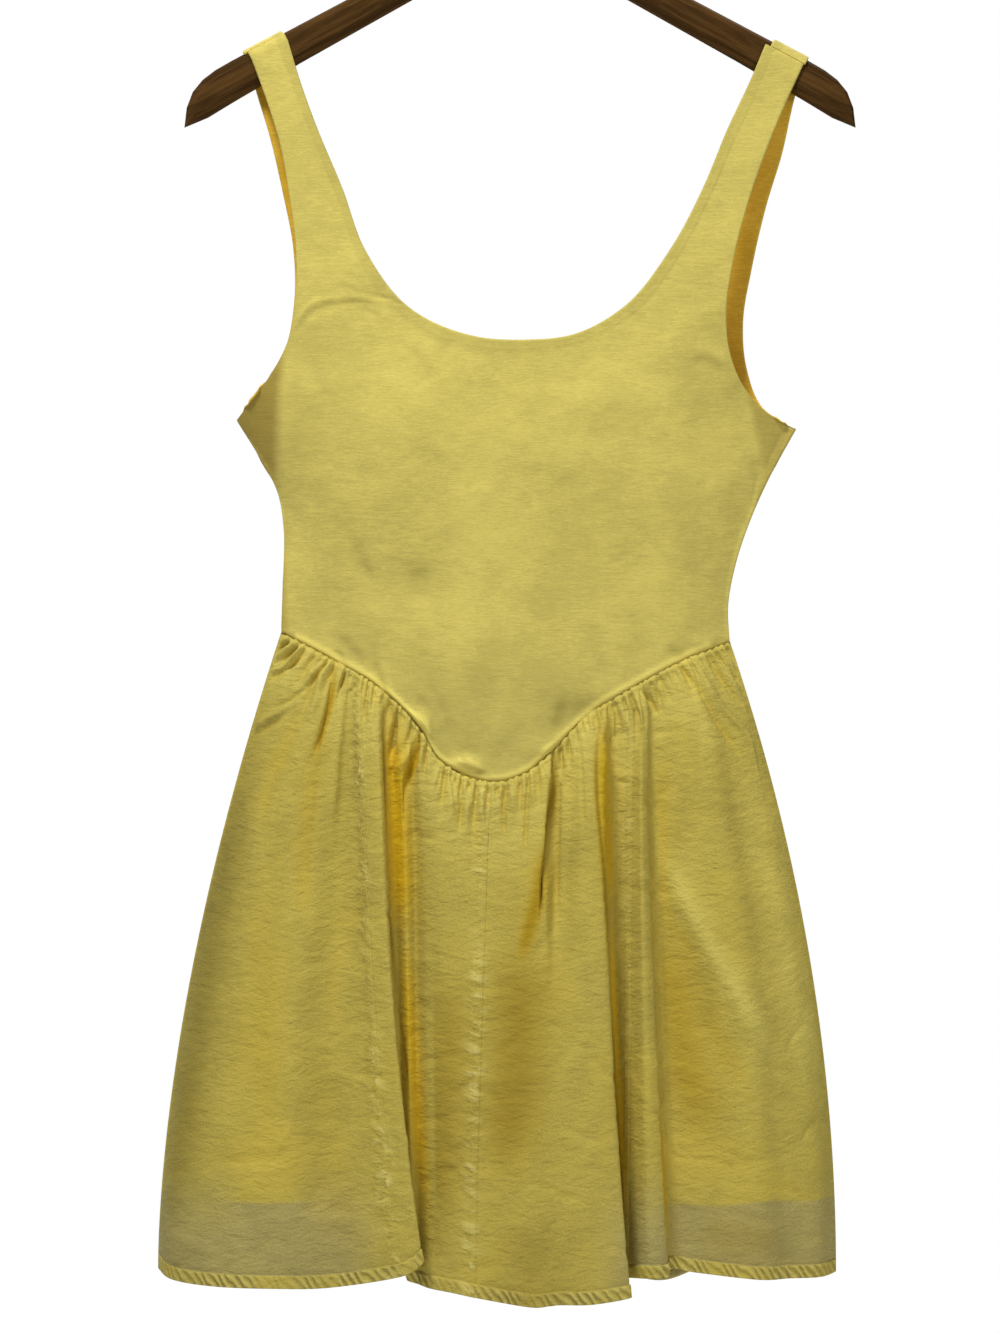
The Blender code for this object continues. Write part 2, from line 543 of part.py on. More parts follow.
def mesh_from(made, name):
    """The evaluated mesh of an object, as an object of its own, with loose caps welded."""
    graph = bpy.context.evaluated_depsgraph_get()
    mesh = bpy.data.meshes.new_from_object(made.evaluated_get(graph))
    welder = bmesh.new()
    welder.from_mesh(mesh)
    bmesh.ops.remove_doubles(welder, verts=welder.verts, dist=WELD)
    bmesh.ops.recalc_face_normals(welder, faces=welder.faces)
    welder.to_mesh(mesh)
    welder.free()
    mesh.transform(made.matrix_world)
    bpy.data.objects.remove(made)
    mesh.name = name
    return mesh


def build_hanger(wood, collection, cutters):
    """Flat wooden hanger with rounded edges, bored for the hook's stem."""
    outline = list(ARM_OUTLINE) + [ARM_BOTTOM_MIDDLE] + [(-x, z) for x, z in reversed(ARM_OUTLINE)]
    curve = bpy.data.curves.new("hanger_outline", "CURVE")
    curve.dimensions = "2D"
    curve.fill_mode = "BOTH"
    curve.extrude = HANGER_THICK / 2 - ARM_EDGE_RADIUS
    curve.bevel_depth = ARM_EDGE_RADIUS
    curve.bevel_resolution = 1
    curve.offset = -ARM_EDGE_RADIUS
    line = curve.splines.new("POLY")
    line.points.add(len(outline) - 1)
    for point, (x, z) in zip(line.points, outline):
        point.co = (x, z, 0, 1)
    line.use_cyclic_u = True
    plate = bpy.data.objects.new("hanger_outline", curve)
    collection.objects.link(plate)
    plate.rotation_euler = (math.pi / 2, 0, 0)
    bpy.context.view_layer.update()
    arms = finish(mesh_from(plate, "hanger_arms"), "hanger_arms", wood, collection)

    hole = bpy.data.meshes.new("stem_hole")
    drill = bmesh.new()
    bmesh.ops.create_cone(
        drill, cap_ends=True, segments=STEM_HOLE_SIDES,
        radius1=STEM_HOLE_RADIUS, radius2=STEM_HOLE_RADIUS, depth=2 * STEM_HOLE_DEPTH,
    )
    drill.to_mesh(hole)
    drill.free()
    cutter = bpy.data.objects.new("stem_hole", hole)
    cutter.location = (0, 0, BOSS_TOP_Z)
    cutter.hide_render = True
    cutter.display_type = "WIRE"
    cutters.objects.link(cutter)
    bore = arms.modifiers.new("stem_hole", "BOOLEAN")
    bore.operation = "DIFFERENCE"
    bore.object = cutter


def build_hook(steel, collection):
    """Round wire hook: an arc about the rail, an S bend back to the middle, and a straight stem."""
    ring = HOOK_INSIDE_RADIUS + WIRE_RADIUS
    centre_z = -HOOK_INSIDE_RADIUS
    turn = np.linspace(HOOK_TIP, HOOK_END, HOOK_STEPS + 1)
    points = [(ring * math.cos(a), centre_z + ring * math.sin(a)) for a in turn]
    bend = (points[-1], *HOOK_BEND)
    points += [tuple(p) for p in along(bend, np.linspace(0, 1, HOOK_BEND_STEPS + 1))[1:]]
    points.append((0.0, BOSS_TOP_Z - STEM_HOLE_DEPTH + SEAM_GAP))
    curve = bpy.data.curves.new("hanger_hook", "CURVE")
    curve.dimensions = "3D"
    curve.bevel_depth = WIRE_RADIUS
    curve.bevel_resolution = 2
    curve.use_fill_caps = True
    line = curve.splines.new("POLY")
    line.points.add(len(points) - 1)
    for point, (x, z) in zip(line.points, points):
        point.co = (x, 0, z, 1)
    curve.materials.append(steel)
    collection.objects.link(bpy.data.objects.new("hanger_hook", curve))


def main():
    for old in list(bpy.data.objects):
        bpy.data.objects.remove(old)
    collection = bpy.data.collections.new("babydoll_dress")
    cutters = bpy.data.collections.new("cutters")
    for made in (collection, cutters):
        bpy.context.scene.collection.children.link(made)

    jersey = material("jersey", BUTTER_YELLOW, 0.90)
    lawn = material("lawn", LAWN_YELLOW, 0.80)
    lining = material("lining", LINING_YELLOW, 0.85)
    wood = material("walnut", WALNUT_BROWN, 0.45)
    steel = material("steel", STEEL_GREY, 0.25, 1.0)

    build_bodice(jersey, collection)
    front_panels = ("skirt_side_left", "skirt_centre_left", "skirt_centre_right", "skirt_side_right")
    build_skirt_side(FRONT_FOLDS, WAIST_FRONT, "front", front_panels, lawn, collection)
    back_panels = ("skirt_back_left", "skirt_back_right")
    build_skirt_side(BACK_FOLDS, WAIST_BACK, "back", back_panels, lawn, collection)
    build_lining(WAIST_FRONT, "front", "lining_front", lining, collection)
    build_lining(WAIST_BACK, "back", "lining_back", lining, collection)
    build_hanger(wood, collection, cutters)
    build_hook(steel, collection)


main()
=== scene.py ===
"""Looks of the babydoll dress: bodice, skirt, lining and hanger, with a plain studio's light and camera."""

import math
import random
from collections import namedtuple

import bpy
import numpy as np
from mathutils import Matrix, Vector


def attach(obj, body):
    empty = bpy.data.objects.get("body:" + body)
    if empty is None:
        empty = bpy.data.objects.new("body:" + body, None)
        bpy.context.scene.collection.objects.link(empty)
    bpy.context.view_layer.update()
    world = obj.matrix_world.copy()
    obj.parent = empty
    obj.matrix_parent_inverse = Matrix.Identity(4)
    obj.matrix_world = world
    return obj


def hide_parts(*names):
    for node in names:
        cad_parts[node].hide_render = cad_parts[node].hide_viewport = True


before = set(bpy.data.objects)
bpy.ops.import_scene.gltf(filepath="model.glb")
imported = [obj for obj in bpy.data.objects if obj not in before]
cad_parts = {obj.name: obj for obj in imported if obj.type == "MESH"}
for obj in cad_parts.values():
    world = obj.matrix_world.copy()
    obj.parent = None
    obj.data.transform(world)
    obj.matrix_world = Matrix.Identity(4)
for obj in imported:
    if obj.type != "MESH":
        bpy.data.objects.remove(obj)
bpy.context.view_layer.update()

bl_info = {
    "name": "Babydoll Dress",
    "version": (1, 0, 0),
    "blender": (4, 5, 0),
    "location": "3D View > Sidebar > Dress",
    "description": "Sews the dress on its hanger and lights it",
    "category": "Object",
}

MM = 0.001
OUTWARD = {"front": -1, "back": 1}  # which way each side of the dress faces along y

# The hanger's arm and the strap that turns over it
LOOP_RADIUS = 0.0083
LOOP_CENTRE_Z = -0.08379
ARM_SLOPE = 0.53
SHOULDER_SEAM_LEFT = math.radians(42)
SHOULDER_SEAM_RIGHT = math.radians(74)
STRAP_HUG = 0.026
STRAP_RUN = 0.150
JERSEY_WALL = 0.0020
SEAM_GAP = 0.0003
SEAM_LAP = 0.0001  # how far each side reaches past the plane of the side seams
STRAP_FADE = 0.02  # over which the creases of the bodice start below a strap's turn
LOOP_STEP = math.radians(5)
BODICE_CUT = (0.40, 0.50)  # flat cloth that each side of the bodice is cut from

# Outlines of the cut pieces as seen from the front, (x, z) in millimetres
ARMHOLE_LEFT = (
    (-176.9, -177.6), (-166.5, -206.0), (-159.1, -230.1), (-151.9, -268.0), (-147.4, -306.0),
    (-147.8, -335.7), (-153.0, -364.0), (-167.6, -391.1), (-187.4, -415.6),
)
SIDE_LEFT = (
    (-187.4, -415.6), (-171.6, -441.3), (-160.0, -464.0), (-156.5, -485.0), (-156.6, -520.5), (-157.7, -554.8),
)
WAIST_FRONT = (
    (-157.7, -554.8), (-124.0, -572.5), (-95.0, -589.5), (-66.0, -617.5), (-53.0, -638.5), (-35.0, -649.0),
    (-19.0, -652.8), (4.0, -647.0), (18.0, -635.5), (45.0, -609.0), (75.0, -590.5), (107.0, -573.5),
    (138.6, -560.8),
)
SIDE_RIGHT = (
    (138.6, -560.8), (137.7, -538.0), (142.5, -511.0), (152.5, -480.9), (169.0, -445.0), (182.0, -421.5),
)
ARMHOLE_RIGHT = (
    (182.0, -421.5), (162.0, -409.8), (146.5, -392.0), (137.6, -368.5), (135.8, -345.0), (139.9, -313.3),
    (149.2, -276.0), (163.7, -234.1), (177.5, -201.1), (186.1, -182.4),
)
NECK_FRONT = (
    (-153.0, -164.9), (-143.9, -194.5), (-133.3, -223.5), (-116.8, -263.1), (-102.3, -302.7),
    (-71.9, -342.3), (-31.7, -360.1), (4.0, -362.8), (36.0, -359.0), (66.7, -342.3), (99.0, -302.7),
    (120.1, -263.1), (136.6, -223.5), (153.8, -186.5), (161.0, -169.1),
)
ARMHOLE_LEFT_BACK = (
    (-179.5, -178.9), (-174.0, -199.0), (-166.5, -223.5), (-157.0, -264.0), (-150.0, -302.0),
    (-149.5, -335.7), (-154.5, -364.0), (-168.5, -391.5), (-187.4, -415.6),
)
ARMHOLE_RIGHT_BACK = (
    (182.0, -421.5), (160.0, -406.0), (150.0, -380.0), (147.8, -350.0), (153.5, -314.5), (163.0, -273.0),
    (173.5, -238.0), (181.0, -204.0), (187.0, -182.9),
)
NECK_BACK = (
    (-153.5, -165.2), (-144.0, -194.5), (-134.0, -223.5), (-119.0, -263.1), (-104.5, -306.0),
    (-74.0, -352.0), (-33.0, -372.0), (4.0, -375.0), (37.0, -371.0), (69.0, -352.0), (101.0, -306.0),
    (122.5, -263.1), (139.5, -223.5), (157.0, -186.5), (164.0, -170.7),
)
WAIST_BACK = ((-157.7, -554.8), (-105.0, -564.0), (-10.0, -576.0), (85.0, -569.0), (138.6, -560.8))

# The ribs of the bodice's mesh run from its outer edges to its neckline. Where along the neckline the ribs from
# each outer edge end, and how many of the solid's ribs belong to each edge
NECK_SHARES = (0.0, 0.30, 0.39, 0.52, 0.59, 1.0)
RIB_SPANS = (12, 8, 22, 8, 12)
RIB_SPANS_BACK = (12, 8, 16, 8, 12)

# Level sections of the body, in metres: height, left and right side, depth of the front and of the back from the
# plane of the side seams, and the powers by which that depth falls off to the left and right
Section = namedtuple("Section", "z left right front back round_left round_right")
SECTIONS = (
    Section(-0.160, -0.340, 0.340, 0.022, 0.019, 2.2, 2.2),
    Section(-0.300, -0.300, 0.300, 0.024, 0.020, 2.2, 2.2),
    Section(-0.363, -0.250, 0.245, 0.026, 0.021, 3.0, 2.2),
    Section(-0.418, -0.1885, 0.1830, 0.028, 0.022, 5.0, 2.2),
    Section(-0.461, -0.1615, 0.1620, 0.028, 0.022, 5.0, 2.4),
    Section(-0.500, -0.1573, 0.1462, 0.026, 0.021, 3.2, 2.6),
    Section(-0.556, -0.1580, 0.1388, 0.025, 0.020, 2.8, 2.8),
    Section(-0.600, -0.1680, 0.1460, 0.027, 0.021, 2.8, 2.8),
    Section(-0.656, -0.1800, 0.1560, 0.030, 0.023, 2.8, 2.8),
)

# Guide lines of the skirt, as on its solids: where each leaves the waist and meets the hem, in metres, whether
# it moves outwards early (above 0) or late (below 0) on its way, and how far it swells between
Fold = namedtuple("Fold", "name waist_x hem_x hem_y hem_z bow swell")
FRONT_FOLDS = (
    Fold("side seam left", -0.1577, -0.2389, 0.000, -0.9739, 0.7, 0.000),
    Fold("left turn", -0.1500, -0.2284, -0.020, -0.9805, 0.7, 0.003),
    Fold("left front", -0.1399, -0.2000, -0.037, -0.9838, 0.6, 0.006),
    Fold("left ridge", -0.1240, -0.1604, -0.047, -0.9845, 0.5, 0.009),
    Fold("left hollow", -0.1110, -0.1241, -0.041, -0.9842, 0.2, 0.001),
    Fold("seam left", -0.1030, -0.0766, -0.050, -0.9760, -1.0, 0.008),
    Fold("overlap left", -0.0917, -0.0634, -0.051, -0.9667, -1.0, 0.011),
    Fold("under left", -0.0872, -0.0713, -0.037, -0.9720, -1.0, 0.002),
    Fold("hollow left", -0.0825, -0.0746, -0.029, -0.9792, -0.5, 0.000),
    Fold("inner ridge", -0.0762, -0.0700, -0.031, -0.9818, -0.3, 0.004),
    Fold("inner hollow", -0.0697, -0.0655, -0.030, -0.9832, 0.0, 0.000),
    Fold("centre edge", -0.0625, -0.0585, -0.037, -0.9851, 0.0, 0.006),
    Fold("centre left", -0.0450, -0.0440, -0.048, -0.9871, 0.0, 0.008),
    Fold("seam centre", -0.0190, -0.0290, -0.051, -0.9901, 0.3, 0.006),
    Fold("centre ridge", 0.0020, 0.0060, -0.057, -0.9957, 0.0, 0.009),
    Fold("centre brim", 0.0145, 0.0190, -0.056, -0.9951, 0.0, 0.010),
    Fold("centre crease", 0.0230, 0.0260, -0.055, -0.9945, 0.0, -0.001),
    Fold("centre right", 0.0376, 0.0475, -0.057, -0.9940, 0.0, 0.010),
    Fold("overlap right", 0.0528, 0.0719, -0.054, -0.9898, -1.0, 0.011),
    Fold("under right", 0.0572, 0.0630, -0.043, -0.9878, -1.0, 0.001),
    Fold("hollow right", 0.0612, 0.0590, -0.033, -0.9851, -0.6, 0.000),
    Fold("strip edge", 0.0660, 0.0640, -0.027, -0.9800, -0.5, 0.003),
    Fold("seam right", 0.0740, 0.0710, -0.032, -0.9785, 0.0, 0.006),
    Fold("strip ridge", 0.0780, 0.0838, -0.046, -0.9779, -0.5, 0.009),
    Fold("strip brim", 0.0815, 0.0964, -0.044, -0.9772, -0.5, 0.006),
    Fold("under strip", 0.0850, 0.0990, -0.033, -0.9726, -0.5, 0.001),
    Fold("right flat", 0.0964, 0.1168, -0.032, -0.9752, 0.0, 0.004),
    Fold("right ridge", 0.1135, 0.1564, -0.039, -0.9792, 0.5, 0.009),
    Fold("right hollow", 0.1240, 0.1762, -0.030, -0.9790, 0.6, 0.004),
    Fold("right turn", 0.1325, 0.1970, -0.019, -0.9790, 0.8, 0.003),
    Fold("side seam right", 0.1386, 0.2086, 0.000, -0.9766, 1.0, 0.000),
)
BACK_FOLDS = (
    Fold("side seam left", -0.1577, -0.2389, 0.000, -0.9739, 0.7, 0.000),
    Fold("left turn", -0.1480, -0.2260, 0.018, -0.9780, 0.7, 0.003),
    Fold("left ridge", -0.1290, -0.1900, 0.044, -0.9790, 0.6, 0.008),
    Fold("left hollow", -0.1090, -0.1540, 0.028, -0.9765, 0.4, 0.001),
    Fold("second ridge", -0.0820, -0.1130, 0.047, -0.9790, 0.3, 0.009),
    Fold("second hollow", -0.0580, -0.0760, 0.030, -0.9760, 0.1, 0.001),
    Fold("third ridge", -0.0300, -0.0380, 0.050, -0.9790, 0.0, 0.010),
    Fold("seam back", -0.0060, -0.0050, 0.030, -0.9760, 0.0, 0.001),
    Fold("fourth ridge", 0.0200, 0.0310, 0.050, -0.9790, 0.0, 0.010),
    Fold("fourth hollow", 0.0430, 0.0640, 0.029, -0.9790, 0.1, 0.001),
    Fold("long ridge", 0.0680, 0.0950, 0.044, -0.9862, 0.2, 0.009),
    Fold("fifth hollow", 0.0900, 0.1270, 0.027, -0.9740, 0.4, 0.001),
    Fold("right ridge", 0.1110, 0.1630, 0.040, -0.9745, 0.6, 0.007),
    Fold("right turn", 0.1300, 0.1960, 0.017, -0.9750, 0.8, 0.003),
    Fold("side seam right", 0.1386, 0.2086, 0.000, -0.9766, 1.0, 0.000),
)
CREASE_END = (16, 0.0102, 0.22, 0.46)  # the centre crease, the swell it fills to, and over which shares down
BACK_COARSER = (1.5, 1.3)  # how much wider the back's mesh columns are at the waist and the hem
NEAR_WAIST = 60  # rows a millimetre apart below the waist
PLAIN_ROWS = 130  # from those to the hem's
HEM_ROWS = (10.5, 9.7, 8.9, 8.2, 7.4, 6.6, 5.7, 4.8, 3.9, 3.0, 2.1, 1.3, 0.6, 0.0)  # millimetres above the hem
SKIRT_INSET = 0.0004
SKIRT_DROP = 0.0004
DEPTH_BOW = 1.4  # the power by which the skirt gains depth towards its hem
FAN_SHIFT = 0.35  # how far the lawn leaves a slanting waist square to it
FAN_FADE = 0.022  # down over which it turns plumb
HEM_HEIGHT = 0.0060
HEM_BAND = 8.0  # height of its roped band, in millimetres
HEM_RAISE = 0.75
HEM_SOFT = 0.8
HEM_GROOVE = (0.9, 0.9, 0.50)  # how far above the band its stitched groove is, its width and depth
HEM_TURN = ((0.9, 0.25), (1.3, 1.4), (1.3, 3.2), (1.3, 5.2), (1.0, 6.6))  # rows turned in: how far back and up
WAIST_TUCK = ((1.1, 3.0), (0.8, 0.6))  # rows tucked up behind the waist seam, in the same way
WAIST_PUFF = (2.0, 1.5, 0.9)  # how far below the waist the lawn stands highest, its width and height
SEAM_ROOM = 1.12  # of a panel's width at the hem
PANEL_SEAM_DIP = 0.45  # how far a panel's edge sinks at its seam, in millimetres
LINING_HEM_Z = -0.9285
LINING_TOP = (-0.1485, 0.2785)  # where its waist starts and how wide it is
LINING_HEM = (-0.2140, 0.4020)
LINING_BEHIND = 0.0029  # how far it hangs behind the skirt's waist
LINING_HEM_DEPTH = 0.0206  # from the plane of the side seams at its middle
LINING_HEM_ROUND = 2.4  # the power by which that depth falls off to the sides
LINING_CROWD = 0.08  # how much its mesh is crowded towards its sides
LINING_TURN = ((0.5, 0.1), (0.6, 3.0), (0.5, 9.0))  # as the turned hem of the skirt
LINING_CUT = (0.42, 0.40)

# Creases of the bodice: a path as seen from the front, (x, z), width and height of its swell, all in
# millimetres. A height below 0 is a trough. Each fades towards its ends.
Crease = namedtuple("Crease", "name path width height")
BODICE_CREASES = (
    Crease("strap root", ((-150, -356), (-138, -340), (-113, -335), (-86, -338)), 1.9, 1.2),
    Crease("strap root shade", ((-148, -359), (-134, -344), (-113, -339), (-88, -341)), 2.0, -0.8),
    Crease("strap root upper", ((-123, -322), (-112, -325), (-103, -331)), 1.4, 1.0),
    Crease("strap root lower", ((-108, -342), (-98, -345), (-90, -349)), 1.2, -0.8),
    Crease("neck tuck", ((-102, -333), (-84, -337), (-74, -341)), 1.4, -1.0),
    Crease("neck line", ((-68, -357), (-47, -367), (-32, -371), (0, -373)), 1.6, -0.5),
    Crease("chest slant", ((-74, -354), (-64, -370), (-51, -390)), 4.5, 0.8),
    Crease("wing turn", ((-151, -372), (-155, -400), (-156, -440), (-157, -475)), 4.5, 1.6),
    Crease("left rib pull", ((-110, -494), (-104, -510), (-99, -524)), 4.5, -1.4),
    Crease("left low pull", ((-70, -512), (-66, -524), (-68, -538)), 7.0, -1.5),
    Crease("left waist pull", ((-125, -556), (-112, -566), (-100, -580)), 4.0, -1.4),
    Crease("left seam pucker", ((-122, -566), (-119, -571), (-116, -580)), 2.6, -1.8),
    Crease("second pucker", ((-97, -572), (-92, -587), (-88, -597)), 2.8, -2.2),
    Crease("puff rim", ((-88, -586), (-85, -595), (-78, -603)), 2.2, 1.7),
    Crease("puff shade", ((-56, -596), (-48, -612), (-44, -628)), 5.0, -1.3),
    Crease("right waist dent", ((26, -600), (27, -610), (23, -622)), 4.0, -2.4),
    Crease("right seam dent", ((98, -564), (104, -570), (110, -572)), 3.0, -1.7),
    Crease("right seam puff", ((112, -560), (121, -562), (130, -559)), 3.5, 1.2),
    Crease("right pull", ((60, -590), (50, -570), (44, -552)), 5.5, -1.2),
    Crease("right second pull", ((84, -574), (78, -556), (76, -540)), 5.0, -0.9),
    Crease("right side line", ((177, -423), (168, -440), (161, -456), (154, -476)), 1.1, -1.5),
    Crease("right side pull", ((148, -404), (154, -424), (159, -446)), 2.6, 1.3),
    Crease("right side shade", ((152, -440), (157, -456), (157, -474)), 3.2, -1.5),
    Crease("armhole pull", ((138, -380), (128, -372), (112, -370)), 4.0, 1.0),
    Crease("armhole shade", ((136, -388), (126, -379), (110, -377)), 3.5, -0.9),
    Crease("waist roll", ((-78, -603), (-69, -609), (-61, -618), (-57, -629)), 2.0, 2.6),
    Crease("waist roll shade", ((-70, -598), (-60, -606), (-53, -618)), 2.6, -1.7),
    Crease("point roll", ((-48, -645), (-38, -640), (-29, -643), (-19, -648)), 1.9, 2.4),
    Crease("point roll shade", ((-46, -634), (-36, -632), (-25, -637)), 2.4, -0.9),
    Crease("right roll", ((10, -637), (22, -627), (34, -615)), 1.8, 1.3),
    Crease("centre pull", ((-20, -640), (-12, -610), (-14, -580)), 6.5, 1.1),
)
# Puffs and dents of the bodice: middle, half width, half height and swell, in millimetres
Puff = namedtuple("Puff", "name x z wide high swell")
BODICE_PUFFS = (
    Puff("waist puff", -64.0, -613.0, 9.0, 7.5, 3.2),
    Puff("point puff", -35.0, -641.0, 12.0, 5.0, 3.0),
    Puff("rib puff", -93.0, -585.0, 6.5, 7.5, 1.7),
    Puff("right low puff", 12.0, -631.0, 12.0, 7.0, 1.8),
    Puff("right rib puff", 56.0, -592.0, 9.0, 8.0, 1.3),
    Puff("chest dent", -61.0, -441.0, 14.0, 11.0, -1.3),
    Puff("left low dent", -68.0, -523.0, 14.0, 13.0, -1.7),
    Puff("middle dent", 22.0, -527.0, 17.0, 19.0, -1.5),
    Puff("low middle dent", -22.0, -596.0, 13.0, 12.0, -1.3),
    Puff("right dent", 40.0, -607.0, 10.0, 8.0, -2.2),
    Puff("right rib dent", 75.0, -570.0, 11.0, 8.0, -1.3),
    Puff("left rib dent", -118.0, -540.0, 13.0, 16.0, -1.2),
    Puff("bust left", -75.0, -400.0, 38.0, 34.0, 1.6),
    Puff("bust right", 68.0, -402.0, 40.0, 34.0, 1.4),
    Puff("belly", -10.0, -560.0, 46.0, 30.0, 1.2),
)
# Small uneven dimples of the bodice: how many, where, how wide and high, and how deep for each of their size
DIMPLES = 70
DIMPLE_SEED = 21
DIMPLE_X = (-140, 125)
DIMPLE_Z = (-620, -380)
DIMPLE_WIDE = (5, 20)
DIMPLE_HIGH = (4, 16)
DIMPLE_DEPTH = (-0.04, 0.04)

# Painted shade where the bodice turns back at its sides, away from the light: the line of the turn as seen from
# the front, (x, z), which way it turns, over how much the painted shade deepens, its lower and its upper end,
# each with how softly it starts, all in millimetres, and how dark the painted shade is
Turn = namedtuple("Turn", "name line way soft low high dark")
WING_TURN = ((-147, -350), (-151, -372), (-154, -400), (-156, -440), (-157, -475), (-158, -520))
SIDE_TURN = ((147, -380), (147, -404), (154, -431), (158, -448), (154, -473), (142, -507), (135, -541))
NO_LOW_END, NO_HIGH_END = (-9999, 1), (9999, 1)
TURNS = {
    "front": (
        Turn("wing", WING_TURN, -1, 9, (-520, 30), (-358, 22), 0.85),
        Turn("waist", ((-151, 0),), -1, 6, NO_LOW_END, (-470, 30), 0.5),
        Turn("right side", SIDE_TURN, 1, 7, (-560, 40), (-384, 16), 0.42),
        Turn("strap", ((-170, 0),), -1, 8, (-330, 60), NO_HIGH_END, 0.15),
    ),
    "back": (Turn("right side", SIDE_TURN, 1, 7, (-560, 40), (-384, 16), 0.84),),
}
# Painted shade and painted highlights in the bodice's colour: painted shade towards its waist, along its
# neckline and in its troughs, painted highlights on its rolls and along its waist roll
LOW_SHADE = 0.34
LOW_START = -520  # from where the bodice gets painted shade towards its waist, and over how much, in millimetres
LOW_FADE = 120
NECK_SHADE = 0.18  # painted shade of the band along the neckline
CREASE_DEEP = 0.0026  # the depth at which a trough of the bodice gets its full painted shade
CREASE_SHADE = 0.30
ROLL_HIGH = 0.0017  # the height from which a roll of the bodice gets a painted highlight
ROLL_LIGHT = 0.60
# Painted highlight along the rolled waist of the bodice
WAIST_LIGHT = 0.62
INSIDE_SHADE = -0.9  # below 0 the inner layer takes its painted warm shade
RIB_EDGE = (0, 0.35, 0.8, 1.4, 2.2, 3.4, 5.0, 6.0, 6.8, 7.6)  # the first mesh steps, in millimetres
NECK_BAND = len(RIB_EDGE) - 1
NECK_RIDGE = (6.8, 1.1, 0.16)  # how far in from the neckline its seam allowance ends, its width and height
NECK_RISE = 0.18  # of the seam allowance itself
NECK_FALL = 1.6
WAIST_ROLL = (2.6, 2.2, 0.55)  # how far above the waist seam the jersey rolls, its width and height
WAIST_ROLL_ENDS = 4  # ribs at each side seam that it leaves out
EDGE_CALM = 2.5  # from an edge, over which creases fall to half their height
EDGE_ROUND = 1.4  # from an edge, over which the wall is rounded off
CREASES_INSIDE = 0.8  # how much of a crease shows on the inner layer

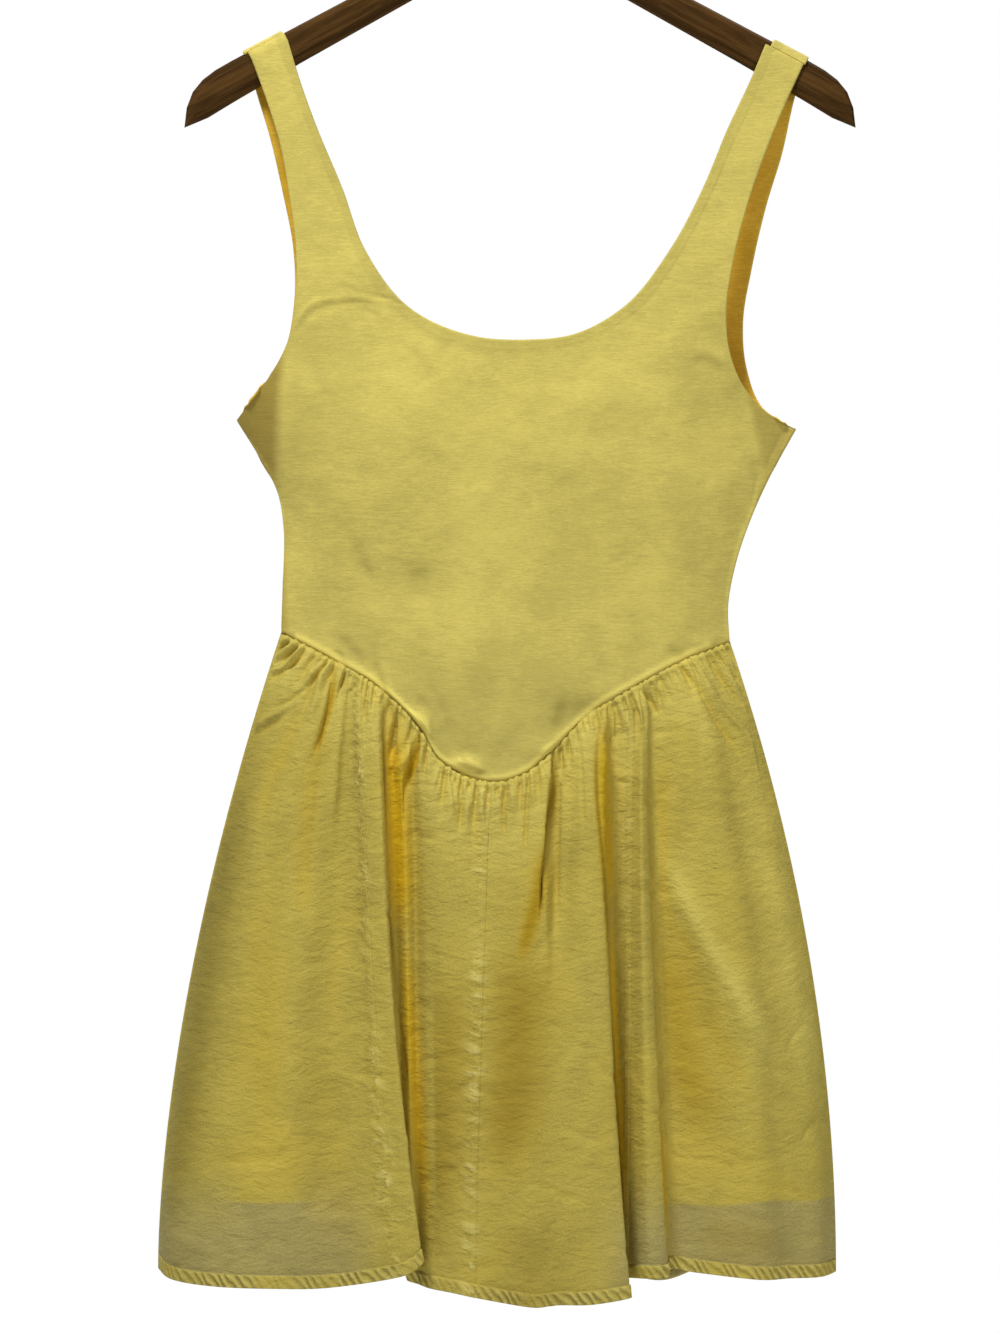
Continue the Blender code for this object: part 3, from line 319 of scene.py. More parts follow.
# Creases of the skirt's front, as those of the bodice, with the columns that each one belongs to, counted
# in guide lines. Lines that only overlap in the view stay smooth.
Pleat = namedtuple("Pleat", "name first last path width height")
SKIRT_CREASES = (
    Pleat("left deep start", 1.5, 4.6, ((-122, -574), (-124, -596), (-130, -621), (-138, -640)), 2.2, -4.2),
    Pleat("left deep run", 1.5, 4.6, ((-129, -615), (-136, -650), (-141, -700), (-143, -760)), 6.5, -3.4),
    Pleat("left light edge", 1.5, 4.8, ((-117, -578), (-117, -600), (-121, -640), (-124, -690)), 3.6, 2.4),
    Pleat("left rim", 1.0, 4.6, ((-131, -574), (-131, -590), (-136, -606), (-144, -618)), 2.4, 1.8),
    Pleat("hip gather a", 0.2, 3.0, ((-153, -561), (-160, -568), (-168, -573)), 1.3, -1.5),
    Pleat("hip gather b", 0.2, 3.0, ((-148, -564), (-158, -573), (-169, -579)), 1.5, -2.0),
    Pleat("hip gather c", 0.2, 3.2, ((-138, -567), (-152, -578), (-167, -587)), 1.6, -2.2),
    Pleat("hip gather d", 0.4, 3.6, ((-129, -572), (-138, -588), (-152, -600), (-166, -606)), 1.8, -2.0),
    Pleat("hip rise a", 0.2, 3.0, ((-150, -560), (-160, -570), (-170, -577)), 1.4, 1.2),
    Pleat("hip rise b", 0.2, 3.2, ((-143, -565), (-156, -577), (-170, -584)), 1.5, 1.3),
    Pleat("hip ridge", 0.3, 3.0, ((-148, -600), (-160, -609), (-173, -617), (-182, -632)), 2.4, 2.2),
    Pleat("hip ridge shade", 0.3, 3.0, ((-150, -606), (-162, -615), (-176, -624), (-184, -640)), 2.4, -1.5),
    Pleat("hip second", 0.5, 3.2, ((-140, -596), (-152, -622), (-166, -655), (-172, -690)), 5.5, -2.2),
    Pleat("left long", 0.5, 3.4, ((-160, -690), (-172, -760), (-180, -840), (-186, -900)), 10.0, -1.8),
    Pleat("left middle", 1.5, 4.4, ((-140, -700), (-150, -780), (-153, -860), (-156, -930)), 14.0, 1.2),
    Pleat("left side tuck", 0.2, 2.0, ((-221, -848), (-210, -842), (-199, -836)), 1.8, -1.1),
    Pleat("left side tuck low", 0.2, 2.0, ((-226, -880), (-213, -872), (-204, -870)), 1.8, -0.8),
    Pleat("left side pull", 0.2, 2.0, ((-215, -790), (-204, -782), (-190, -786)), 3.0, -0.8),
    Pleat("left low ripple", 0.8, 4.5, ((-190, -945), (-160, -938), (-120, -940), (-90, -948)), 4.0, 0.7),
    Pleat("seam hook a", 3.4, 5.0, ((-115, -583), (-116, -588), (-119, -592)), 1.4, -1.6),
    Pleat("seam hook b", 3.8, 5.4, ((-109, -587), (-110, -592), (-113, -596)), 1.3, -1.5),
    Pleat("seam hook", 5.0, 6.0, ((-95, -593), (-93, -603), (-94, -616)), 1.6, -2.6),
    Pleat("inner tuck", 7.4, 9.6, ((-82, -607), (-83, -625), (-86, -640)), 1.8, -2.8),
    Pleat("inner rise", 8.2, 11.0, ((-67, -620), (-75, -636), (-84, -652), (-88, -675)), 2.6, 2.4),
    Pleat("inner shade", 8.8, 11.0, ((-66, -621), (-72, -645), (-78, -672), (-80, -720)), 2.4, -3.2),
    Pleat("centre small a", 11.0, 13.0, ((-51, -640), (-53, -650), (-56, -662)), 1.3, -1.8),
    Pleat("centre small b", 11.5, 13.6, ((-41, -647), (-43, -657), (-42, -672)), 1.3, -1.7),
    Pleat("centre small c", 12.0, 14.0, ((-33, -652), (-37, -664), (-40, -686)), 1.5, -2.2),
    Pleat("seam pull", 12.4, 13.6, ((-36, -665), (-31, -690), (-34, -720)), 3.0, -0.9),
    Pleat("point gather a", 13.0, 14.6, ((-10, -653), (-11, -668), (-10, -692)), 1.3, -2.0),
    Pleat("point gather b", 13.2, 15.0, ((4, -649), (4, -668), (3, -700)), 1.4, -2.2),
    Pleat("narrow valley", 14.6, 16.6, ((23, -634), (22, -660), (20, -690), (12, -735), (2, -772)), 2.6, -4.6),
    Pleat("narrow valley low", 14.4, 17.0, ((8, -750), (0, -780), (-2, -830), (0, -880)), 9.0, -2.6),
    Pleat("valley right brim", 16.0, 17.2, ((30, -630), (29, -660), (28, -700), (24, -745)), 3.5, 1.6),
    Pleat("right panel crease", 16.8, 18.0, ((38, -620), (40, -650), (42, -690)), 1.6, -1.2),
    Pleat("right panel light", 16.4, 18.4, ((40, -700), (47, -780), (50, -860), (56, -940)), 9.0, 1.8),
    Pleat("strip puff", 19.4, 21.6, ((62, -602), (60, -620), (59, -640)), 2.0, 1.4),
    Pleat("right hook low", 22.6, 25.6, ((78, -592), (81, -606), (83, -622)), 1.6, -2.0),
    Pleat("right gather long", 25.0, 29.0, ((104, -573), (118, -592), (132, -616), (148, -640)), 2.4, -2.8),
    Pleat("right diagonal", 25.4, 29.4, ((111, -572), (131, -602), (153, -629), (162, -660)), 2.4, 2.8),
    Pleat("right diagonal rim", 26.0, 29.6, ((119, -567), (136, -590), (150, -608)), 1.8, -2.0),
    Pleat("right high gather", 26.6, 29.8, ((126, -565), (138, -580), (150, -592)), 1.6, -1.8),
    Pleat("right edge gather", 27.2, 29.9, ((132, -563), (142, -573), (150, -579)), 1.4, -1.5),
    Pleat("right short gather", 24.4, 27.0, ((90, -583), (91, -596), (94, -612)), 1.6, -2.0),
    Pleat("right low gather", 22.8, 26.0, ((77, -590), (86, -600), (92, -612)), 1.5, -1.8),
    Pleat("right diagonal low", 25.0, 29.6, ((88, -690), (100, -716), (129, -769), (152, -809), (172, -846)),
          8.5, 3.6),
    Pleat("right broad shade", 25.0, 29.2, ((90, -720), (108, -782), (130, -832), (154, -872)), 12.0, -3.2),
    Pleat("right outer rise", 26.6, 29.8, ((142, -670), (152, -740), (166, -820), (174, -900)), 12.0, 2.4),
    Pleat("right side tuck", 28.0, 30.0, ((200, -872), (190, -880), (184, -892)), 1.8, -1.3),
    Pleat("right side tuck high", 28.0, 30.0, ((190, -810), (181, -818), (174, -830)), 1.8, -1.2),
    Pleat("right low ripple", 25.0, 29.0, ((100, -950), (130, -944), (165, -948), (195, -952)), 4.0, 0.7),
)

# Places of the skirt's front given painted shade or painted highlight, most deep in a fold, as the creases: how
# far each takes on the painted warm shade of the hollows, and how much painted shade it gets, or painted
# highlight where that is below 0
Valley = namedtuple("Valley", "name first last path width depth shade")
SKIRT_VALLEYS = (
    Valley("left start", 1.5, 4.8, ((-122, -578), (-124, -600), (-130, -621), (-138, -642)), 2.0, 1.0, 0.50),
    Valley("left run", 1.5, 4.8, ((-126, -600), (-133, -640), (-138, -680), (-141, -720)), 5.0, 0.25, 0.16),
    Valley("left edge line", 6.4, 9.0, ((-91, -596), (-90, -640), (-88, -720), (-80, -800)), 1.6, 1.0, 1.00),
    Valley("left edge low line", 6.4, 9.0, ((-81, -790), (-73, -850), (-66, -915), (-62, -965)),
           1.3, 1.0, 0.85),
    Valley("left valley", 6.2, 11.2, ((-86, -600), (-83, -640), (-80, -700), (-77, -765)), 9.0, 1.0, 0.06),
    Valley("left valley low", 6.4, 11.2, ((-77, -740), (-73, -800), (-67, -880), (-61, -950)), 5.5, 0.85, 0.0),
    Valley("wedge", 8.4, 12.4, ((-66, -619), (-71, -640), (-77, -662), (-83, -690)), 3.6, 1.0, 0.22),
    Valley("narrow line", 14.6, 17.0, ((23, -632), (23, -660), (20, -690), (13, -735), (5, -758)),
           1.3, 1.0, 0.9),
    Valley("narrow patch", 13.6, 17.0, ((17, -690), (13, -722), (6, -748), (-2, -778)), 5.2, 1.0, 0.62),
    Valley("right edge line", 17.3, 22.4, ((54, -603), (50, -633), (50, -658), (54, -705), (59, -785)),
           1.5, 1.0, 0.8),
    Valley("right edge low line", 18.2, 22.4, ((58, -775), (62, -845), (66, -905), (69, -975)), 1.2, 1.0, 0.75),
    Valley("right valley", 17.3, 22.4, ((58, -604), (55, -628), (55, -662), (57, -705), (60, -745)),
           4.6, 1.0, 0.14),
    Valley("right valley low", 18.2, 22.4, ((58, -720), (62, -800), (66, -880), (70, -960)), 2.2, 1.0, 0.0),
    Valley("strip line", 24.0, 26.2, ((74, -600), (75, -705), (82, -790), (88, -850)), 1.4, 1.0, 0.35),
    Valley("strip low line", 24.0, 26.2, ((86, -830), (93, -900), (97, -970)), 1.5, 1.0, 0.3),
    Valley("centre hollow", 11.6, 16.8, ((0, -745), (-1, -810), (-5, -868), (-14, -925)), 19.0, 0.50, 0.56),
    Valley("centre left hollow", 11.2, 14.0, ((-46, -762), (-48, -840), (-50, -900), (-48, -955)),
           16.0, 0.36, 0.44),
    Valley("right hollow", 25.2, 29.4, ((88, -738), (102, -800), (114, -855), (130, -897)), 17.0, 0.52, 0.36),
    Valley("right low shade", 25.0, 29.6, ((112, -944), (140, -952), (176, -952)), 17.0, 0.15, 0.20),
    Valley("right diagonal light", 25.0, 29.7, ((84, -680), (100, -716), (129, -769), (152, -809), (176, -850)),
           8.0, 0.0, -0.44),
    Valley("right edge light", 26.4, 29.9, ((150, -630), (168, -725), (182, -795), (197, -880)),
           13.0, 0.0, -0.36),
    Valley("right waist light", 25.0, 29.6, ((104, -590), (118, -612), (134, -640)), 8.0, 0.0, -0.25),
    Valley("right upper hollow", 25.2, 29.0, ((92, -620), (92, -700), (95, -780)), 8.0, 0.3, 0.1),
    Valley("left middle glow", 1.0, 5.0, ((-160, -720), (-166, -780), (-168, -850), (-160, -910)),
           14.0, 0.20, 0.0),
    Valley("left low shade", 2.0, 5.2, ((-130, -800), (-126, -860), (-120, -930), (-112, -985)),
           16.0, 0.1, 0.14),
    Valley("centre top shade", 11.5, 15.0, ((-52, -662), (-22, -674), (6, -666)), 13.0, 0.0, 0.14),
    Valley("centre low shade", 12.0, 17.6, ((4, -930), (6, -960), (8, -1010)), 26.0, 0.1, 0.30),
    Valley("left side shade", 0.0, 3.0, ((-172, -600), (-200, -740), (-220, -860), (-234, -990)),
           15.0, 0.0, 0.56),
)

# How the gathers set out from the waist: sideways for each step down, at places along the seam
Lean = namedtuple("Lean", "x lean")
FRONT_LEANS = (
    Lean(-158, -1.5), Lean(-138, -1.25), Lean(-118, -0.55), Lean(-98, -0.15), Lean(-60, -0.3), Lean(-30, -0.1),
    Lean(0, 0.0), Lean(40, 0.15), Lean(75, 0.5), Lean(100, 0.8), Lean(139, 1.05),
)
BACK_LEANS = (Lean(-158, -0.9), Lean(-100, -0.3), Lean(0, 0.0), Lean(90, 0.3), Lean(139, 0.8))
LEAN_FADE = 26.0  # millimetres over which a gather turns straight down
GATHER_REACH = 75  # how far below the waist any gather ends, in millimetres
GATHER_GAP = (2.4, 6.6)  # least and most between gathers, in millimetres
GATHER_LENGTH = (8.0, 52.0)
GATHER_HEIGHT = (1.0, 2.7)
GATHER_WIDTH = (0.7, 1.25)
GATHER_SPREAD = 0.055  # how much it widens for each step down
GATHER_RIM = (2.1, 1.1, 0.45)  # the puff beside a gather: how far off and how wide, in its widths, and how high
PUCKER_SHARES = {"front": (1.0, 0.85, 0.35), "back": (0.8,)}  # how strongly each seam puckers

# The topstitching beside a panel seam, in millimetres from the seam
STITCH_LINE = 5.6
STITCH_GROOVE = (0.7, 0.35)  # width and depth
STITCH_STEP = 1.3
THREAD_RADIUS = 0.22
SEAM_BAND = ((6.5, 1.2), (0.4, 0.8))  # the raised seam allowance: its two edges, each with how softly it rises
BAND_RAISE = 0.30
PUCKERED = (4.5, 6.0)  # the middle and width of what the puckers reach
PUCKER_ENDS = (8.0, 10.0)  # how far below the waist they start and above the hem they end
PUCKER_TALL = (1.3, 2.8)
PUCKER_REACH = (3.0, 8.0)
PUCKER_HEIGHT = (0.2, 1.0)
PUCKER_LEAN = (-0.55, 0.55)
PUCKER_STEP = (3.2, 8.5)

# Small wrinkles of the lawn, in millimetres
WRINKLES = 560
WRINKLE_Z = (-975, -620)
WRINKLE_FLARE = -0.0022  # how much they turn for each millimetre sideways
WRINKLE_SPREAD = 0.38
WRINKLE_LENGTH = (5, 24)
WRINKLE_WIDTH = (1.0, 3.4)
WRINKLE_HEIGHT = (-0.38, 0.32)  # for each of their width
WRINKLE_CURL = (-0.012, 0.012)
RANDOM_STEPS = {"front": (0, 1, 3), "back": (9, 2, 3)}  # added to the seed for gathers, wrinkles and puckers

# How the lawn's folds get their painted warm shade: how many columns it is compared with on each side, from how
# far behind them it starts and over how much, and the depth of a crease that counts in full, in metres
FOLD_COLUMNS = 14
FOLD_FROM, FOLD_OVER = 0.0010, 0.0085
FOLD_CREASE = 0.0055


class BodiceSettings(bpy.types.PropertyGroup):
    """Sizes and colour of the bodice."""

    ribs: bpy.props.IntProperty(name="Ribs", description="Mesh ribs for each of the solid's", default=6, min=1)
    steps: bpy.props.IntProperty(name="Steps", description="Mesh steps across each rib", default=104, min=16)
    colour: bpy.props.FloatVectorProperty(
        name="Colour", description="Colour of the jersey", subtype="COLOR", size=3,
        default=(0.625, 0.520, 0.118),
    )
    # Painted shade: the colour painted where the sides of the bodice turn back, away from the light
    shadow: bpy.props.FloatVectorProperty(
        name="Turned sides", description="Colour where the sides turn back", subtype="COLOR", size=3,
        default=(0.300, 0.200, 0.028),
    )


class SkirtSettings(bpy.types.PropertyGroup):
    """Sizes and colour of the skirt and its lining."""

    column: bpy.props.FloatProperty(
        name="Column", description="Width of a mesh column at the waist", default=0.00062, subtype="DISTANCE"
    )
    hem_column: bpy.props.FloatProperty(
        name="Hem column", description="Width of a mesh column at the hem", default=0.0012, subtype="DISTANCE"
    )
    seed: bpy.props.IntProperty(name="Seed", description="Chooses where the small gathers fall", default=5)
    colour: bpy.props.FloatVectorProperty(
        name="Colour", description="Colour of the lawn", subtype="COLOR", size=3,
        default=(0.490, 0.392, 0.068),
    )
    # Painted warm shade deep in the folds of the lawn
    hollow: bpy.props.FloatVectorProperty(
        name="Hollows", description="Colour deep in the folds", subtype="COLOR", size=3,
        default=(0.640, 0.410, 0.005),
    )
    # Painted shade where no lining backs the lawn and the dark inside shows through; also darkened for the
    # painted shade in the hem's roping
    unlined_shade: bpy.props.FloatVectorProperty(
        name="Below lining", description="Colour where no lining backs it", subtype="COLOR", size=3,
        default=(0.390, 0.325, 0.104),
    )


class HangerSettings(bpy.types.PropertyGroup):
    """Colours of the hanger."""

    wood: bpy.props.FloatVectorProperty(
        name="Wood", description="Colour of the stained wood", subtype="COLOR", size=3,
        default=(0.070, 0.034, 0.009),
    )
    steel: bpy.props.FloatVectorProperty(
        name="Steel", description="Colour of the hook", subtype="COLOR", size=3,
        default=(0.60, 0.60, 0.60),
    )


class StageSettings(bpy.types.PropertyGroup):
    """Light, floor and camera."""

    floor_z: bpy.props.FloatProperty(
        name="Floor", description="Height of the floor", default=-1.32, subtype="DISTANCE"
    )
    key: bpy.props.FloatProperty(
        name="Key", description="Power of the main light", default=74.0, subtype="POWER"
    )
    fill: bpy.props.FloatProperty(
        name="Fill", description="Power of the fill light", default=21.0, subtype="POWER"
    )
    room: bpy.props.FloatProperty(name="Room", description="Strength of the room's light", default=0.10)
    distance: bpy.props.FloatProperty(
        name="Distance", description="From the camera to the dress", default=5.0, subtype="DISTANCE"
    )


class Value:
    """A shader socket that takes part in sums."""

    def __init__(self, tree, socket):
        self.tree = tree
        self.socket = socket

    def sum(self, operation, *values, clamp=False):
        node = self.tree.nodes.new("ShaderNodeMath")
        node.operation = operation
        node.use_clamp = clamp
        for slot, value in zip(node.inputs, values):
            if isinstance(value, Value):
                self.tree.links.new(value.socket, slot)
            else:
                slot.default_value = value
        return Value(self.tree, node.outputs[0])

    def __add__(self, other):
        return self.sum("ADD", self, other)

    def __radd__(self, other):
        return self.sum("ADD", other, self)

    def __sub__(self, other):
        return self.sum("SUBTRACT", self, other)

    def __rsub__(self, other):
        return self.sum("SUBTRACT", other, self)

    def __mul__(self, other):
        return self.sum("MULTIPLY", self, other)

    def __rmul__(self, other):
        return self.sum("MULTIPLY", other, self)

    def __neg__(self):
        return self.sum("SUBTRACT", 0.0, self)

    def __abs__(self):
        return self.sum("ABSOLUTE", self)

    def sine(self):
        return self.sum("SINE", self)

    def or_more(self, other):
        """The larger of the two."""
        return self.sum("MAXIMUM", self, other)

    def held(self):
        """Kept between 0 and 1."""
        return self.sum("ADD", self, 0.0, clamp=True)


class Finish:
    """A material under construction, with one method for every node."""

    def __init__(self, name, colour, roughness, metallic=0.0):
        self.material = bpy.data.materials.new(name)
        self.material.use_nodes = True
        self.material.diffuse_color = (*colour, 1)
        self.tree = self.material.node_tree
        self.shader = self.tree.nodes["Principled BSDF"]
        self.shader.inputs["Base Color"].default_value = (*colour, 1)
        self.shader.inputs["Roughness"].default_value = roughness
        self.shader.inputs["Metallic"].default_value = metallic

    def node(self, kind, settings=None, inputs=None, output=0):
        node = self.tree.nodes.new(kind)
        for name, value in (settings or {}).items():
            setattr(node, name, value)
        for name, value in (inputs or {}).items():
            if isinstance(value, Value):
                self.tree.links.new(value.socket, node.inputs[name])
            else:
                node.inputs[name].default_value = value
        return Value(self.tree, node.outputs[output])

    def place(self, source, scale=(1, 1, 1), turn=(0, 0, 0)):
        """Coordinates scaled and turned for a pattern."""
        where = self.node("ShaderNodeTexCoord", output=source)
        return self.node("ShaderNodeMapping", inputs={"Vector": where, "Scale": scale, "Rotation": turn})

    def slanted(self, slope, coarse, fine):
        """Object coordinates for a pattern of creases that lie level but for slope."""
        x, y, z = self.parts(self.place(OBJECT))
        return self.joined((x + z * slope) * coarse, y * coarse, (z - x * slope) * fine)

    def joined(self, x, y, z):
        return self.node("ShaderNodeCombineXYZ", inputs={"X": x, "Y": y, "Z": z})

    def parts(self, where):
        split = self.node("ShaderNodeSeparateXYZ", inputs={"Vector": where}).socket.node
        return [Value(self.tree, out) for out in split.outputs]

    def noise(self, where, scale, detail=2.0, roughness=0.5, distortion=0.0):
        inputs = {
            "Vector": where, "Scale": scale, "Detail": detail, "Roughness": roughness, "Distortion": distortion,
        }
        return self.node("ShaderNodeTexNoise", inputs=inputs)

    def blend(self, factor, first, second, mode="MIX"):
        """Colours mixed by factor."""
        node = self.tree.nodes.new("ShaderNodeMix")
        node.data_type = "RGBA"
        node.blend_type = mode
        sockets = {"Factor_Float": factor, "A_Color": first, "B_Color": second}
        for slot in node.inputs:
            value = sockets.get(slot.identifier)
            if value is None:
                continue
            if isinstance(value, Value):
                self.tree.links.new(value.socket, slot)
            else:
                slot.default_value = value if isinstance(value, float) else (*value, 1)
        out = next(slot for slot in node.outputs if slot.identifier == "Result_Color")
        return Value(self.tree, out)

    def range(self, value, low, high):
        """0 at low and 1 at high, smooth between."""
        settings = {"interpolation_type": "SMOOTHSTEP"}
        return self.node("ShaderNodeMapRange", settings, {"Value": value, "From Min": low, "From Max": high})

    def attribute(self, name):
        return self.node("ShaderNodeAttribute", {"attribute_name": name}, output=2)

    def feed(self, slot, value):
        self.tree.links.new(value.socket, self.shader.inputs[slot])

    def cloth_sheen(self, weight, roughness):
        """A faint sheen and little gloss."""
        self.shader.inputs["Sheen Weight"].default_value = weight
        self.shader.inputs["Sheen Roughness"].default_value = roughness
        self.shader.inputs["Specular IOR Level"].default_value = 0.25

    def relief(self, height, distance, normal=None):
        inputs = {"Height": height, "Distance": distance, "Strength": 1.0}
        if normal is not None:
            inputs["Normal"] = normal
        return self.node("ShaderNodeBump", inputs=inputs)


UV, OBJECT = 2, 3  # outputs of the Texture Coordinate node
KNIT_WALE, KNIT_COURSE = 0.0011, 0.0008  # from one stitch of the jersey to the next, across and down
PAINTED_INSIDE_COLOURS = ((0.66, 0.40, 0.02), (0.84, 0.54, 0.05))  # painted warm shade of the jersey's inner layer
PAINTED_LIGHT_COLOURS = ((0.60, 0.50, 0.10), (0.80, 0.68, 0.17))  # painted light on the lawn close below the waist, and painted highlight where the folds are lit
TINT_COLOUR = (0.60, 0.44, 0.05)  # of uneven patches in the lawn
GLOW_COLOUR = (0.66, 0.48, 0.06)  # above the lining's hem
CREST_COLOUR = (0.66, 0.57, 0.17)  # painted highlight on the crests of the hem's roping
SHINE_COLOUR = (0.72, 0.62, 0.18)  # painted highlight on the puckers beside the seams
DEEP_COLOUR = (0.060, 0.038, 0.004)  # painted shade where the lawn lies in its folds and hollows
HEM_EDGE = (0.0088, 0.0078)  # over which the roped band of the hem ends
ROPE_RUN, ROPE_RISE = 0.0062, 0.0075  # of one turn of the hem's roping, along the hem and up it
WAIST_FADE = 0.075  # below the waist, over which the lawn takes its painted light

# Where the lining's hem shows through the lawn as painted shade below it and a painted glow above it, in metres
# from the middle of the dress
LEFT_CLEAR, RIGHT_CLEAR = 0.165, 0.150  # where its edge is crispest, to the left and right
CENTRE_HIDDEN = 0.020  # the middle of the stretch that hides it, to the left
RIGHT_GLOW = 0.112
GLOW_UP = 0.030  # from the lining's hem to the middle of the glow above it


def shaded(colour, share):
    """A colour times share."""
    return tuple(c * share for c in colour)


def jersey_finish(colour, shadow):
    """Matt double jersey with fine level streaks and a soft, slightly mottled face, with painted shade and
    painted highlights in its colour.
    """
    finish = Finish("jersey", colour, 0.88)
    streak = finish.noise(finish.place(OBJECT, (110, 110, 900)), 1.0, 3.0, 0.65)
    fleck = finish.noise(finish.place(OBJECT, (420, 420, 1600)), 1.0, 2.0, 0.6)
    mottle = finish.noise(finish.place(OBJECT), 17.0, 4.0, 0.60, 0.4)
    tone = finish.range(streak * 0.36 + fleck * 0.26 + mottle * 0.38, 0.38, 0.62)
    light = finish.blend(tone, shaded(colour, 0.84), shaded(colour, 1.10))
    turned, folded = finish.attribute("hollow"), finish.attribute("shaded")
    # painted shade where the sides turn back
    light = finish.blend(turned.held() * 0.85, light, shadow)
    # painted highlight on the rolls and along the waist
    light = finish.blend((-folded).held(), light, shaded(colour, 1.55))
    # painted shade in the troughs, towards the waist and along the neckline
    light = finish.blend(folded.held(), light, shaded(colour, 0.45))
    # painted warm shade on the inner layer
    light = finish.blend((-turned).held(), light, finish.blend(tone, *PAINTED_INSIDE_COLOURS))
    finish.feed("Base Color", light)
    x, _, z = finish.parts(finish.place(OBJECT))
    knit = (x * (2 * math.pi / KNIT_WALE)).sine() * (z * (2 * math.pi / KNIT_COURSE)).sine()
    soft = finish.noise(finish.place(OBJECT), 30.0, 2.0, 0.45, 0.3)
    fine = finish.relief(streak * 0.55 + fleck * 0.45 + knit * 0.05, 0.00030)
    finish.feed("Normal", finish.relief(soft, 0.0035, fine))
    finish.cloth_sheen(0.08, 0.5)
    return finish.material


def below_lining(finish, band):
    """Masks for painted shade where no lining backs the skirt and the dark inside shows through, and for the
    painted glow above the lining's hem, but not on the band of the hem.
    """
    x, _, z = finish.parts(finish.place(OBJECT))
    wave = finish.noise(finish.place(OBJECT, (11, 11, 0)), 1.0, 2.0) - 0.5
    gap = z + wave * 0.012 - LINING_HEM_Z
    left, right = abs(x + LEFT_CLEAR), abs(x - RIGHT_CLEAR)
    crisp = finish.range(left, 0.034, 0.016).or_more(finish.range(right, 0.066, 0.042))
    sharp = finish.range(gap, 0.0016, -0.0016)
    soft = finish.range(gap, 0.030, -0.028)
    sides = finish.range(abs(x + CENTRE_HIDDEN), 0.062, 0.100)
    below = (soft + (sharp - soft) * crisp) * sides * (1 - band) * 0.95
    above, beyond = gap - GLOW_UP, x - RIGHT_GLOW
    left_glow = finish.range(left * left * 900 + above * above * 900, 1.0, 0.0)
    right_glow = finish.range(beyond * beyond * 1200 + above * above * 1000, 1.0, 0.0)
    glow = left_glow.or_more(right_glow) * finish.range(gap, -0.001, 0.003)
    return below, glow


def panel_finish(finish, shade, normal, tone, hollow, unlined_shade):
    """Colour and relief of the skirt's panels: painted amber shade in the folds, painted grey shade below the
    lining, a roped hem with painted shade and highlights, puckered seams with painted highlights, painted light
    below the waist.
    """
    u, v, _ = finish.parts(finish.place(UV))
    # painted light close below the waist, from colours that also give the painted highlight of lit folds
    seam = finish.blend(tone, *PAINTED_LIGHT_COLOURS)
    shade = finish.blend(finish.range(v, WAIST_FADE, 0.0) * 0.42, shade, seam)
    up = finish.attribute("above_hem")
    band = finish.range(up, *HEM_EDGE)
    below, glow = below_lining(finish, band)
    # painted glow above the lining's hem, then painted shade below it where the dark inside shows through
    shade = finish.blend((glow * 0.32).held(), shade, GLOW_COLOUR)
    shade = finish.blend(below.held(), shade, finish.blend(tone, shaded(unlined_shade, 0.84), shaded(unlined_shade, 1.12)))
    # painted warm shade deep in the folds
    shade = finish.blend(finish.attribute("hollow").held(), shade, hollow)
    uneven = finish.noise(finish.place(UV, (55, 0, 1)), 1.0, 2.0)
    turn = (u * (math.pi / ROPE_RUN) + up * (math.pi / ROPE_RISE) + uneven * 9.0).sine()
    strength = finish.range(finish.noise(finish.place(UV, (24, 0, 1)), 1.0, 1.0), 0.36, 0.60)
    twist = (1 - abs(turn)) * band * (0.2 + strength * 0.8)
    # painted shade in the grooves of the hem's roping, then painted highlight on its crests
    shade = finish.blend((twist * 0.42).held(), shade, shaded(unlined_shade, 0.55))
    shade = finish.blend(((abs(turn) - 0.70) * 1.9 * band * strength).held(), shade, CREST_COLOUR)
    pucker = finish.noise(finish.place(UV, (64, 150, 1), (0, 0, 0.2)), 1.0, 2.0, 0.55, 0.4)
    patches = finish.range(finish.noise(finish.place(UV, (4, 17, 1)), 1.0, 2.0), 0.36, 0.60)
    beside = finish.attribute("beside_seam") * (0.25 + patches * 0.75)
    # painted highlight on the puckers beside the seams
    shine = (finish.range(pucker, 0.50, 0.62) * beside * 0.80).held()
    shade = finish.blend(shine, shade, SHINE_COLOUR)
    folded = finish.attribute("shaded")
    # painted highlight where the folds are lit
    shade = finish.blend((-folded).held(), shade, seam)
    # painted shade where the folds are shaded
    shade = finish.blend((folded * 0.72).held(), shade, DEEP_COLOUR)
    normal = finish.relief(pucker * beside, 0.0030, normal)
    normal = finish.relief(abs(turn) * band * (0.3 + strength * 0.7), 0.0012, normal)
    return shade, normal


